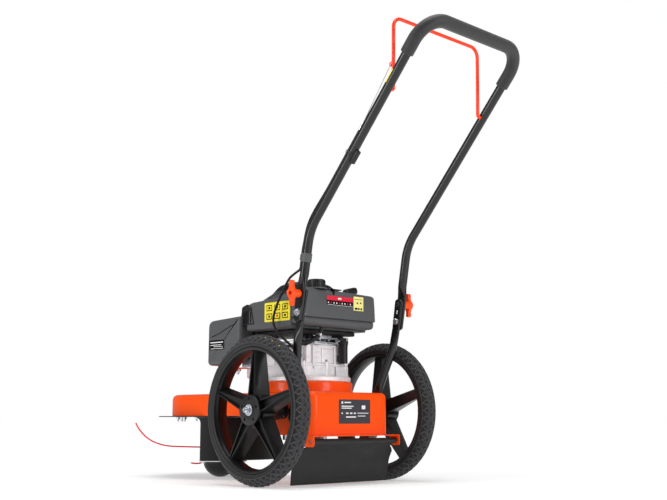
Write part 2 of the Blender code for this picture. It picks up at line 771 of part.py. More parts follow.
def cylinder():
    """Finned barrel in front of the crankcase, its head and plug."""
    start = ENGINE_Y - CASE_HALF - GAP
    profile = []
    pitch = CYLINDER_LEN / FINS
    for i in range(FINS):
        high = CYLINDER_LEN - pitch * i
        profile += [(CYLINDER_R, high), (CYLINDER_R, high - pitch * 0.6), (FIN_R, high - pitch * 0.6),
                    (FIN_R, high - pitch * 0.85), (CYLINDER_R, high - pitch * 0.85)]
    profile = [(0.0, CYLINDER_LEN), *profile, (CYLINDER_R, 0), (0.0, 0)]
    turned("cylinder", profile, CAST, (0, start, CYLINDER_Z), None, 16, along_y(False))
    head_rear = start - CYLINDER_LEN - GAP
    half = HEAD_SIZE / 2
    block("cylinder_head", (-half, head_rear - HEAD_T, CYLINDER_Z - half),
          (half, head_rear, CYLINDER_Z + half), CAST, None, 0.006)
    face = head_rear - HEAD_T - GAP
    plug = [(0.0, 0.024), (0.0045, 0.024), (0.0045, 0.012), (0.0095, 0.012), (0.0095, 0.0), (0.0, 0.0)]
    turned("spark_plug", plug, ZINC, (0, face, CYLINDER_Z), None, 12, along_y(False))


def exhaust():
    """Muffler on the engine's right."""
    inner = HEAD_SIZE / 2 + 0.006
    block("muffler", (-inner - 0.062, -0.235, 0.268), (-inner, -0.158, 0.344), STEEL, None, 0.010)


def intake():
    """Carburettor on the engine's left, with the air cleaner outside it."""
    inner = HEAD_SIZE / 2 + 0.006
    block("carburettor", (inner, -0.222, 0.286), (AIRBOX_IN - GAP, -0.172, 0.340), ZINC, None, 0.004)
    block("air_cleaner_base", (AIRBOX_IN, AIRBOX_FRONT, AIRBOX_FOOT),
          (AIRBOX_SPLIT - GAP, AIRBOX_REAR, AIRBOX_TOP), BLACK, None, 0.005, 1)
    block("air_cleaner_cover", (AIRBOX_SPLIT, AIRBOX_FRONT, AIRBOX_FOOT),
          (AIRBOX_OUT, AIRBOX_REAR, AIRBOX_TOP), GREY_PLASTIC, None, 0.014, 3)


def blower():
    """Back plate over the crankcase, cover over the flywheel, and the rope starter's dome."""
    rear = TANK_FRONT - GAP
    plate_foot = 0.366
    plate = block("blower_base", (-0.092, COVER_FRONT + 0.004, plate_foot), (0.092, rear, plate_foot + 0.012),
                  BLACK, None, 0.003, 1)
    cut(plate, cutter_round("plate_hole", 0.022, (0, ENGINE_Y, plate_foot), 0.05))
    foot = plate_foot + 0.012 + GAP
    cover = block("blower_cover", (-COVER_HALF, COVER_FRONT, foot), (COVER_HALF, rear, COVER_TOP),
                  GREY_PLASTIC, None, 0.012, 2)
    cover.modifiers.remove(cover.modifiers["rounded_edges"])
    hollow = cutter_round("blower_hollow", FLYWHEEL_R + 0.004, (0, ENGINE_Y, foot), 2 * (COVER_TOP - foot - 0.004),
                          steps=24)
    cut(cover, hollow)
    cut(cover, cutter_round("intake_hole", 0.070, (0, ENGINE_Y, COVER_TOP), 0.03, steps=20))
    add_bevel(cover, 0.008, 2)
    base = COVER_TOP + GAP
    dome = [(STARTER_R, base + 0.006), (STARTER_R, base), (STARTER_R - COVER_WALL, base),
            (STARTER_R - COVER_WALL, base + 0.006), (0.062, STARTER_TOP - COVER_WALL - 0.002),
            (0.0, STARTER_TOP - COVER_WALL)]
    outer = [(0.0, STARTER_TOP), (0.064, STARTER_TOP - 0.002), (0.080, STARTER_TOP - 0.018)]
    turned("starter_housing", outer + dome, GREY_PLASTIC, (0, ENGINE_Y, 0), None, 24)
    cowl = block("cylinder_cowl", (-0.058, -0.262, plate_foot + 0.002), (0.082, COVER_FRONT - GAP, 0.440),
                 GREY_PLASTIC, None, 0.0)
    for vert in cowl.data.vertices:
        if vert.co.z > 0 and vert.co.y < 0:
            vert.co.z -= 0.034
            vert.co.y += 0.018
    add_bevel(cowl, 0.008, 2)


def starter_grip():
    """T-shaped pull handle resting on the right rear of the cover; it is pulled straight up."""
    place = Vector((-0.098, -0.006, COVER_TOP + GAP))
    pull = empty("starter_pull", place, MACHINE)
    obj = block("starter_grip", place + Vector((-0.022, -0.0085, 0.008)), place + Vector((0.022, 0.0085, 0.027)),
                BLACK, pull, 0.006)
    stem = hidden(mesh_object("starter_stem", block_mesh((0.012, 0.010, 0.014)), (0, 0, 0.0072)))
    stem.parent = pull
    join(obj, stem)


def fuel_system():
    tank = block("fuel_tank", (-COVER_HALF, TANK_FRONT, TANK_FOOT), (COVER_HALF, TANK_REAR, TANK_TOP),
                 GREY_PLASTIC, None, 0.0)
    neck_top = TANK_TOP + 0.008
    neck = profile_object("tank_neck", rod(CAP_R - 0.006, TANK_FOOT + 0.04, neck_top), 16)
    hidden(neck)
    neck.parent = MACHINE
    neck.location = (CAP_X, CAP_Y, 0)
    add_bevel(tank, 0.010, 3)
    join(tank, neck)
    inner = CAP_R - 0.006 + SLACK
    cap = [(0.0, TANK_TOP + CAP_H), (CAP_R - 0.003, TANK_TOP + CAP_H), (CAP_R, TANK_TOP + CAP_H - 0.003),
           (CAP_R, TANK_TOP + GAP), (inner, TANK_TOP + GAP), (inner, neck_top + GAP), (0.0, neck_top + GAP)]
    turn = empty("fuel_cap_turn", (CAP_X, CAP_Y, 0), MACHINE)
    turned("fuel_cap", cap, BLACK, (CAP_X, CAP_Y, 0), turn, 20)
    hose = [(0.050, 0.043, TANK_FOOT - 2 * GAP), (0.050, 0.043, TANK_FOOT - 0.012), (0.060, 0.039, 0.356), (0.080, 0.024, 0.342),
            (0.092, -0.010, 0.336), (0.094, -0.070, 0.334), (0.0915, -0.110, 0.328), (0.0905, -0.138, 0.322),
            (0.0860, -0.152, 0.319), (0.0795, -0.161, 0.318), (0.0790, -0.1705, 0.318)]
    wire("fuel_hose", smooth_route(hose, 0.012), 0.0035, RUBBER)


def oil_dipstick():
    """Screwed into the filler on the back of the crankcase."""
    turn = empty("dipstick_turn", (FILLER_X, FILLER_Y, 0), MACHINE)
    top = FILLER_TOP
    stick = [(0.0, top + 0.015), (0.012, top + 0.015), (0.013, top + 0.004), (0.013, top + GAP),
             (FILLER_R - 0.003 - SLACK, top + GAP), (FILLER_R - 0.003 - SLACK, top - 0.008), (0.002, top - 0.008),
             (0.002, FILLER_FOOT + 0.008), (0.0, FILLER_FOOT + 0.008)]
    turned("oil_dipstick", stick, BLACK, (FILLER_X, FILLER_Y, 0), turn, 16)


# ---------------------------------------------------------------- handle

def side_point(flat, x=0.0):
    """A point from its (y, z) in side view and its x."""
    return Vector((x, flat.x, flat.y))


X_AXIS = Vector((1, 0, 0))


def tube_stations():
    """Centre, direction and shape along the left half of the handle, from its lower end to the middle."""
    low, high = side_point(UP_LOW), side_point(UP_HIGH)
    pivot = side_point(PIVOT, TUBE_X)
    outward = X_AXIS * (FLAT_T / 2 + GAP)
    flat = (FLAT_T / 2, FLAT_W / 2, 0.5)
    round_ = (TUBE_R, TUBE_R, 1.0)
    stations = [(pivot - low * 0.022 + outward, low, flat), (pivot + low * (LOCK_REACH + 0.018) + outward, low, flat),
                (pivot + low * (LOCK_REACH + 0.045), low, round_)]
    bend = side_point(BEND, TUBE_X)
    for point in fillet(bend - low, bend, bend + high, BEND_R, 3):
        share = (point - bend).dot((low + high).normalized())
        reach = BEND_R * sin(acos(low.dot(high)) / 2)
        mix = max(0.0, min(1.0, 0.5 + share / (2 * reach)))
        stations.append((point, (low * (1 - mix) + high * mix).normalized(), round_))
    corner = side_point(BAR, TUBE_X)
    arc = fillet(corner - high, corner, corner - X_AXIS, CORNER_R, 5)
    stations.append((corner - high * (GRIP_REACH + 0.004), high, round_))
    for i, point in enumerate(arc):
        angle = pi / 2 * i / 5
        stations.append((point, high * cos(angle) - X_AXIS * sin(angle), round_))
    stations.append((side_point(BAR), -X_AXIS, round_))
    return stations


def station_ring(centre, direction, half_a, half_b, power, normal=None, sides=10):
    """Section across a direction; normal is the side-view normal that stays the same round a corner."""
    normal = normal or direction.cross(X_AXIS).normalized()
    across = normal.cross(direction).normalized()
    return section(centre, across, normal, half_a, half_b, power, sides)


def half_tube(name, stations, kind, parent, thickness, offset=-1.0):
    """An open tube on the left side, mirrored to the right and given its wall."""
    corner_normal = side_point(UP_HIGH).cross(X_AXIS).normalized()
    rings = []
    for centre, direction, (half_a, half_b, power) in stations:
        normal = corner_normal if abs(direction.x) > 0.01 else None
        rings.append(station_ring(centre, direction, half_a, half_b, power, normal))
    bm = swept_surface(rings)
    bmesh.ops.recalc_face_normals(bm, faces=bm.faces)
    obj = finish(mesh_object(name, bm), kind, parent)
    mirror = obj.modifiers.new("other_side", "MIRROR")
    mirror.use_clip = True
    mirror.merge_threshold = 0.0001
    wall(obj, thickness, offset)
    return obj


def handle():
    fold = empty("handle_fold", side_point(PIVOT), MACHINE)
    stations = tube_stations()
    tube = half_tube("handle_tube", stations, GLOSS_BLACK, fold, TUBE_WALL)
    lock = PIVOT + UP_LOW * LOCK_REACH
    cut(tube, cutter_round("pivot_holes", PIVOT_BOLT_R + SLACK, side_point(PIVOT), 3 * TUBE_X, "X", 16))
    cut(tube, cutter_round("lock_holes", LOCK_BOLT_R + GAP, side_point(lock), 3 * TUBE_X, "X", 12))
    bail_holes(tube)
    corner = side_point(BAR, TUBE_X)
    high = side_point(UP_HIGH)
    covered = [s for s in stations if s[0].z > corner.z - CORNER_R - 0.001]
    grip = [(corner - high * GRIP_REACH, high, (TUBE_R, TUBE_R, 1.0)), *covered]
    sleeve = [(centre, direction, (TUBE_R + GAP, TUBE_R + GAP, 1.0)) for centre, direction, _ in grip]
    half_tube("foam_grip", sleeve, BLACK, fold, GRIP_R - TUBE_R - GAP, 1.0)
    bolts_and_knobs(fold, lock)
    cable_fittings(fold)
    bail(fold)


def bail_holes(tube):
    """One blind hole in the inner wall of each tube, where the bail's ends turn."""
    for side in (1, -1):
        name = "bail_hole_left" if side > 0 else "bail_hole_right"
        place = side_point(BAIL_PIVOT, side * (TUBE_X - TUBE_R))
        cut(tube, cutter_round(name, BAIL_R + SLACK, place, 0.010, "X", 12))


def bolts_and_knobs(fold, lock):
    bracket_in = TUBE_X - GAP - FLAT_T
    tube_out = TUBE_X + GAP + FLAT_T
    for side, word in ((1, "left"), (-1, "right")):
        turn = wheel_turn(side)
        reach = bracket_in - GAP
        length = tube_out + GAP - reach
        pin = [(0.0, length + 0.005), (0.0075, length + 0.005), (0.0075, length), (PIVOT_BOLT_R, length),
               (PIVOT_BOLT_R, 0.0), (0.0075, 0.0), (0.0075, -0.005), (0.0, -0.005)]
        turned(f"{word}_pivot_bolt", pin, ZINC, side_point(PIVOT, side * reach), None, 16, turn)
        knob_in = tube_out + GAP
        knob_out = knob_in + 0.030
        bolt = [(0.0, knob_out - reach - 0.006), (LOCK_BOLT_R, knob_out - reach - 0.006),
                (LOCK_BOLT_R, 0.0), (0.007, 0.0), (0.006, -0.0035), (0.0, -0.0035)]
        turned(f"{word}_lock_bolt", bolt, ZINC, side_point(lock, side * reach), fold, 12, turn)
        knob(f"{word}_knob", side, fold, lock, knob_in, knob_out, turn)


def knob(name, side, fold, lock, knob_in, knob_out, turn):
    """Wing knob: a hub against the tube and a bar across its outer end."""
    spin = empty(f"{name}_turn", side_point(lock, side * knob_in), fold)
    hub = [(0.0095, knob_out - knob_in), (0.0095, 0.0), (LOCK_BOLT_R + SLACK, 0.0),
           (LOCK_BOLT_R + SLACK, knob_out - knob_in)]
    obj = profile_object(name, hub, 16)
    obj.location = side_point(lock, side * knob_in)
    obj.rotation_euler = turn.to_euler()
    finish(obj, ORANGE, spin, smooth=False)
    bm = block_mesh((KNOB_SPAN, KNOB_W, KNOB_T))
    bar = hidden(mesh_object(f"{name}_bar", bm, (0, 0, 0)))
    bar.parent = spin
    bar.rotation_euler = turn.to_euler()
    bar.location = (side * (knob_out - knob_in - KNOB_T / 2), 0, 0)
    bar.modifiers.new("soft", "BEVEL").width = 0.004
    cut(bar, cutter_round(f"{name}_bore", LOCK_BOLT_R + SLACK, side_point(lock, side * knob_out), 0.05, "X", 16))
    join(obj, bar)


def bail(fold):
    """Bent wire between the tubes; its ends turn in the tubes' inner walls."""
    swing = empty("bail_swing", side_point(BAIL_PIVOT), fold)
    end = side_point(BAIL_PIVOT, TUBE_X - TUBE_R + TUBE_WALL)
    elbow = side_point(BAIL_PIVOT, BAIL_X)
    top = side_point(BAIL_TOP, BAIL_X)
    half = [end, *fillet(end, elbow, top, 0.006, 3), *fillet(elbow, top, top - X_AXIS, 0.024, 5)]
    other = [Vector((-p.x, p.y, p.z)) for p in reversed(half)]
    wire("bail_lever", half + other, BAIL_R, ORANGE, swing)


def front_of_tube(distance, above_bend, x, lift):
    """A point beside the left tube, lift away from its middle line on the front side."""
    start, direction = (BEND, UP_HIGH) if above_bend else (PIVOT, UP_LOW)
    along = start + direction * distance
    return Vector((x, along.x - direction.y * lift, along.y + direction.x * lift))


def cable_fittings(fold):
    """Clip, conduit and inner wire on the left tube."""
    lift = TUBE_R + CABLE_R + GAP
    x = TUBE_X
    centre = side_point(PIVOT + UP_LOW * CLIP_UP, TUBE_X)
    half_len = 0.011
    clip = profile_object("cable_clip", ring(TUBE_R + GAP + CLIP_WALL, TUBE_R + GAP, -half_len, half_len), 16)
    tilt = Matrix.Rotation(-(pi / 2 - atan2(UP_LOW.y, UP_LOW.x)), 4, "X")
    clip.location = centre
    clip.rotation_euler = tilt.to_euler()
    finish(clip, GREY_PLASTIC, fold, smooth=False)
    above = lift + CLIP_WALL + GAP
    route = [front_of_tube(CLIP_UP - CLIP_TAIL, False, x, above), front_of_tube(CLIP_UP, False, x, above),
             front_of_tube(CLIP_UP + 0.030, False, x, lift + 0.001), front_of_tube(0.02, True, x, lift + 0.002),
             front_of_tube(0.12, True, x, lift), front_of_tube(0.28, True, x, lift)]
    wire("brake_cable_upper", smooth_route(route, 0.02), CABLE_R, BLACK, fold)
    wire_start = front_of_tube(0.28 + GAP, True, x, lift)
    hook = side_point(BAIL_PIVOT.lerp(BAIL_TOP, 0.36), BAIL_X + 0.002)
    hook.y -= BAIL_R + 0.0015
    wire("brake_wire", [wire_start, hook], 0.0008, ZINC, fold)


def lower_cable():
    """Conduit from the clip down to the brake on the engine, with the slack that folding needs."""
    above = TUBE_R + CABLE_R + CLIP_WALL + 2 * GAP
    start = front_of_tube(CLIP_UP - CLIP_TAIL - GAP, False, TUBE_X, above)
    under = front_of_tube(CLIP_UP - CLIP_TAIL - 0.010, False, TUBE_X, above)
    route = [start, under, (0.165, 0.072, 0.500), (0.158, 0.048, 0.493), (0.155, 0.030, 0.478), (0.151, -0.004, 0.437),
             (0.147, -0.024, 0.404), (0.143, -0.024, 0.380), (0.137, -0.009, 0.358), (0.125, 0.012, 0.337),
             (0.108, 0.014, 0.320), (0.0860, 0.000, 0.312)]
    wire("brake_cable_lower", smooth_route(route, 0.012), CABLE_R, BLACK)


def bracket_stations():
    """Centre, direction and shape of the left bracket, from its top down to its foot on the deck's side."""
    low = side_point(UP_LOW)
    pivot = side_point(PIVOT, TUBE_X)
    inward = -X_AXIS * (FLAT_T / 2 + GAP)
    flat = (FLAT_T / 2, FLAT_W / 2, 0.5)
    round_ = (TUBE_R, TUBE_R, 1.0)
    foot_x = DECK_HALF_W + GAP + FLAT_T / 2
    knee = side_point(FOOT, FOOT_X)
    foot_end = Vector((foot_x, FOOT.x - 0.017, REAR_BOTTOM + 0.030))
    foot_top = Vector((foot_x + GAP, FOOT.x - 0.005, DECK_TOP - 0.020))
    shoulder = pivot - low * 0.060 + inward
    leg = (shoulder - knee).normalized()
    return [(foot_end, (foot_top - foot_end).normalized(), flat), (foot_top, (foot_top - foot_end).normalized(), flat),
            (knee, leg, (FOOT_X - DECK_HALF_W - GAP, FLAT_W * 0.46, 0.7)),
            (knee + leg * 0.030, leg, round_), (shoulder - leg * 0.010, leg, round_),
            (pivot - low * 0.026 + inward, low, flat), (pivot + low * (LOCK_REACH + 0.014) + inward, low, flat)]


def open_slot(name):
    """Cutter for the arc that lets the lock bolt swing forward out of the bracket."""
    bm = bmesh.new()
    start = atan2(UP_LOW.y, UP_LOW.x)
    half = LOCK_BOLT_R + SLACK
    steps = 10
    sweep = radians(100)
    angles = [start + sweep * i / steps for i in range(steps + 1)]
    outline = [PIVOT + Vector((cos(a), sin(a))) * (LOCK_REACH + half) for a in angles]
    outline += [PIVOT + Vector((cos(a), sin(a))) * (LOCK_REACH - half) for a in reversed(angles)]
    lock = PIVOT + UP_LOW * LOCK_REACH
    across = Vector((UP_LOW.y, -UP_LOW.x))
    outline += [lock - UP_LOW * half * 0.7 + across * half * 0.7, lock + across * half,
                lock + UP_LOW * half * 0.7 + across * half * 0.7]
    near = [bm.verts.new((-2 * TUBE_X, p.x, p.y)) for p in outline]
    far = [bm.verts.new((2 * TUBE_X, p.x, p.y)) for p in outline]
    bm.faces.new(near)
    bm.faces.new(far)
    for i in range(len(outline)):
        j = (i + 1) % len(outline)
        bm.faces.new((near[i], near[j], far[j], far[i]))
    bmesh.ops.recalc_face_normals(bm, faces=bm.faces)
    obj = hidden(mesh_object(name, bm))
    obj.parent = MACHINE
    return obj


def handle_brackets():
    rings = [station_ring(c, d, *shape) for c, d, shape in bracket_stations()]
    bm = swept_surface(rings)
    bmesh.ops.recalc_face_normals(bm, faces=bm.faces)
    left = mesh_object("left_handle_bracket", bm)
    right = mirrored_mesh(left, "right_handle_bracket")
    pin = cutter_round("bracket_pins", PIVOT_BOLT_R + GAP, side_point(PIVOT), 3 * TUBE_X, "X", 16)
    slot = open_slot("lock_slot")
    for obj in (left, right):
        finish(obj, GLOSS_BLACK, MACHINE)
        wall(obj, TUBE_WALL)
        cut(obj, pin)
        cut(obj, slot)


# ---------------------------------------------------------------- build

def clear_scene():
    for obj in list(bpy.data.objects):
        bpy.data.objects.remove(obj, do_unlink=True)


def collection(name):
    made = bpy.data.collections.new(name)
    bpy.context.scene.collection.children.link(made)
    return made


clear_scene()
PARTS = collection("brush_mower")
CUTTERS = collection("cutters")
GUIDES = collection("guides")
PLACES = {}
MACHINE = empty("machine", (0, AXLE_Y, 0))
PLACES["machine"] = Vector((0, 0, 0))
wheels()
deck()
engine_seat()
rear_bracket()
rear_flap()
guard()
spindle()
belt()
crank_train()
crankcase()
cylinder()
exhaust()
intake()
blower()
starter_grip()
fuel_system()
oil_dipstick()
handle_brackets()
handle()
lower_cable()
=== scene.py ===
"""Looks of a walk-behind wheeled string trimmer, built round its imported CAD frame.

Metres, +Z up, +X the operator's left. Places are written from a point on the ground under the
middle of the axle, as in the CAD source, and every finished mesh is shifted by FROM_AXLE.
"""

import json
from math import acos, atan2, cos, pi, radians, sin, sqrt

import bmesh
import bpy
from mathutils import Matrix, Vector


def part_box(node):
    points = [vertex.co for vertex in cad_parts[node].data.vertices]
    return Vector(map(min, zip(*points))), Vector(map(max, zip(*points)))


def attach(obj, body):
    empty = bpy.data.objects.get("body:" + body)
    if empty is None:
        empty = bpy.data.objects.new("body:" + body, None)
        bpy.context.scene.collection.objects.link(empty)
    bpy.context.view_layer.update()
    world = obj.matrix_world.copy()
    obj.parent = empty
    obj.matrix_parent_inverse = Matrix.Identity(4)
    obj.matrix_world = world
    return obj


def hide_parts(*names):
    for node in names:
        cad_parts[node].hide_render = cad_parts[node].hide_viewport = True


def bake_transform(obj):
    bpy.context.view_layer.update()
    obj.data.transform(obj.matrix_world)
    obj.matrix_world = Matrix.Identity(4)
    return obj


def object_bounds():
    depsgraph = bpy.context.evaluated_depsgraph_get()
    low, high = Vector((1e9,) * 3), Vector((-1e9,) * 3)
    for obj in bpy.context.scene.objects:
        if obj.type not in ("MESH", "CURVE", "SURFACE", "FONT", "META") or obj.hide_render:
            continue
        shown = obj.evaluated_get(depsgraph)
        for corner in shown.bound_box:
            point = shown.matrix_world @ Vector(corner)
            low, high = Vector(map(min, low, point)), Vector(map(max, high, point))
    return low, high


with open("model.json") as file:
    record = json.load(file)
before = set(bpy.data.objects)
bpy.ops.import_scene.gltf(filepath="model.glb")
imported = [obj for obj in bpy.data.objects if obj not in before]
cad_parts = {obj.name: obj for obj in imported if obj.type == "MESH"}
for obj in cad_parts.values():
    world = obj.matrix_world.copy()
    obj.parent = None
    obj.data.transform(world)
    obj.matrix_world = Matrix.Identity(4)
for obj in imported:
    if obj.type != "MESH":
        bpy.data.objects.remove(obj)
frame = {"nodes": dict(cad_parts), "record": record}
CAD_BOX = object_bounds()


def at(place):
    return Matrix.Translation(place)


def rotated(angle, axis):
    return Matrix.Rotation(angle, 4, axis)


def middle(node):
    low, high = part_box(node)
    return (low + high) / 2


FROM_AXLE = Vector((0, middle("axle").y, 0))
SHIFT = at(FROM_AXLE)
GAP = 0.0003            # clearance between pieces that would touch


def from_axle(node):
    """Lowest and highest corner of a CAD node, counted from the point under the axle."""
    low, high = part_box(node)
    return low - FROM_AXLE, high - FROM_AXLE


def polar(radius, angle, z=0, y=0):
    """A point round the upright axis at x = 0 and that y."""
    return Vector((radius * cos(angle), y + radius * sin(angle), z))


def centre_of(node):
    """Middle of a CAD node, counted from the same point."""
    return middle(node) - FROM_AXLE


def shown(name, data):
    """A new object with that data, linked into the scene."""
    obj = bpy.data.objects.new(name, data)
    bpy.context.scene.collection.objects.link(obj)
    return obj


def mesh_from(name, bm):
    """Turns the built shape into a mesh and frees it."""
    mesh = bpy.data.meshes.new(name)
    bm.to_mesh(mesh)
    bm.free()
    return mesh


def towards(obj, way):
    """Aims a camera or a light along that direction, upright."""
    obj.rotation_mode = "QUATERNION"
    obj.rotation_quaternion = way.to_track_quat("-Z", "Y")


# -------- camera

def camera():
    """Low beside the machine's left rear corner, looking slightly up at it."""
    lens = bpy.data.cameras.new("camera")
    lens.lens = 56.46
    lens.sensor_width = 36.0
    obj = shown("camera", lens)
    obj.location = Vector((1.8225, 1.9181, 0.1598)) + FROM_AXLE
    turn, rise = radians(-134.078), radians(9.1187)
    ahead = Vector((cos(turn) * cos(rise), sin(turn) * cos(rise), sin(rise)))
    towards(obj, ahead)
    bpy.context.scene.camera = obj


# -------- materials

def linear(hexa):
    """sRGB hex to the linear values that Blender's colours hold."""
    values = [int(hexa[i:i + 2], 16) / 255 for i in (0, 2, 4)]
    return [v / 12.92 if v <= 0.04045 else ((v + 0.055) / 1.055) ** 2.4 for v in values] + [1.0]


def add(tree, kind, settings=None, inputs=None):
    """Adds a node with its settings; an input is a value or another node's output."""
    node = tree.nodes.new(kind)
    for key, value in (settings or {}).items():
        setattr(node, key, value)
    for key, value in (inputs or {}).items():
        if isinstance(value, bpy.types.NodeSocket):
            tree.links.new(value, node.inputs[key])
        else:
            node.inputs[key].default_value = value
    return node


def per_metre(millimetres):
    """Texture scale whose features are about that many millimetres wide."""
    return 1000 / millimetres


def surface(name, shades, rough, grain, patch=60, metallic=0.0, coat=0.0, coat_rough=0.1, sheen=0.0,
            bump=0.3, cells=False, stretch=(1, 1, 1), specular=0.5, edge_highlight=None):
    """A finish whose colour drifts between two shades, with its roughness, over patch mm.

    Grain is the width in mm of the fine relief, as deep as bump; cells makes it pebbled; stretch
    draws both out along an axis; the last argument gives a lighter shade painted on its sharp outer edges as
    a highlight.
    """
    mat = bpy.data.materials.new(name)
    mat.use_nodes = True
    tree = mat.node_tree
    shader = tree.nodes["Principled BSDF"]
    for key, value in (("Metallic", metallic), ("Coat Weight", coat), ("Coat Roughness", coat_rough),
                       ("Sheen Weight", sheen)):
        shader.inputs[key].default_value = value
    if not metallic:
        shader.inputs["Specular IOR Level"].default_value = specular
    place = add(tree, "ShaderNodeTexCoord").outputs["Object"]
    place = add(tree, "ShaderNodeMapping", None, {"Vector": place, "Scale": stretch}).outputs["Vector"]
    drift = add(tree, "ShaderNodeTexNoise", None,
                {"Vector": place, "Scale": per_metre(patch), "Detail": 5.0, "Roughness": 0.6})
    colour = add(tree, "ShaderNodeMix", {"data_type": "RGBA"},
                 {"Factor": drift.outputs["Fac"], 6: linear(shades[0]), 7: linear(shades[1])})
    # Painted highlight: sharp outer edges, found by pointiness, are mixed towards the lighter shade.
    if edge_highlight:
        edges = add(tree, "ShaderNodeNewGeometry").outputs["Pointiness"]
        wear_and_highlight = add(tree, "ShaderNodeMapRange", None, {"Value": edges, 1: 0.52, 2: 0.6, 3: 0.0, 4: 1.0})
        colour = add(tree, "ShaderNodeMix", {"data_type": "RGBA"},
                     {"Factor": wear_and_highlight.outputs["Result"], 6: colour.outputs[2], 7: linear(edge_highlight)})
    tree.links.new(colour.outputs[2], shader.inputs["Base Color"])
    gloss = add(tree, "ShaderNodeMapRange", None,
                {"Value": drift.outputs["Fac"], 1: 0.3, 2: 0.7, 3: rough[0], 4: rough[1]})
    tree.links.new(gloss.outputs["Result"], shader.inputs["Roughness"])
    if cells:
        fine = add(tree, "ShaderNodeTexVoronoi", None, {"Vector": place, "Scale": per_metre(grain)})
        height = fine.outputs["Distance"]
    else:
        fine = add(tree, "ShaderNodeTexNoise", None,
                   {"Vector": place, "Scale": per_metre(grain), "Detail": 3.0, "Roughness": 0.7})
        height = fine.outputs["Fac"]
    relief = add(tree, "ShaderNodeBump", None, {"Height": height, "Strength": bump, "Distance": grain / 4000})
    tree.links.new(relief.outputs["Normal"], shader.inputs["Normal"])
    return mat


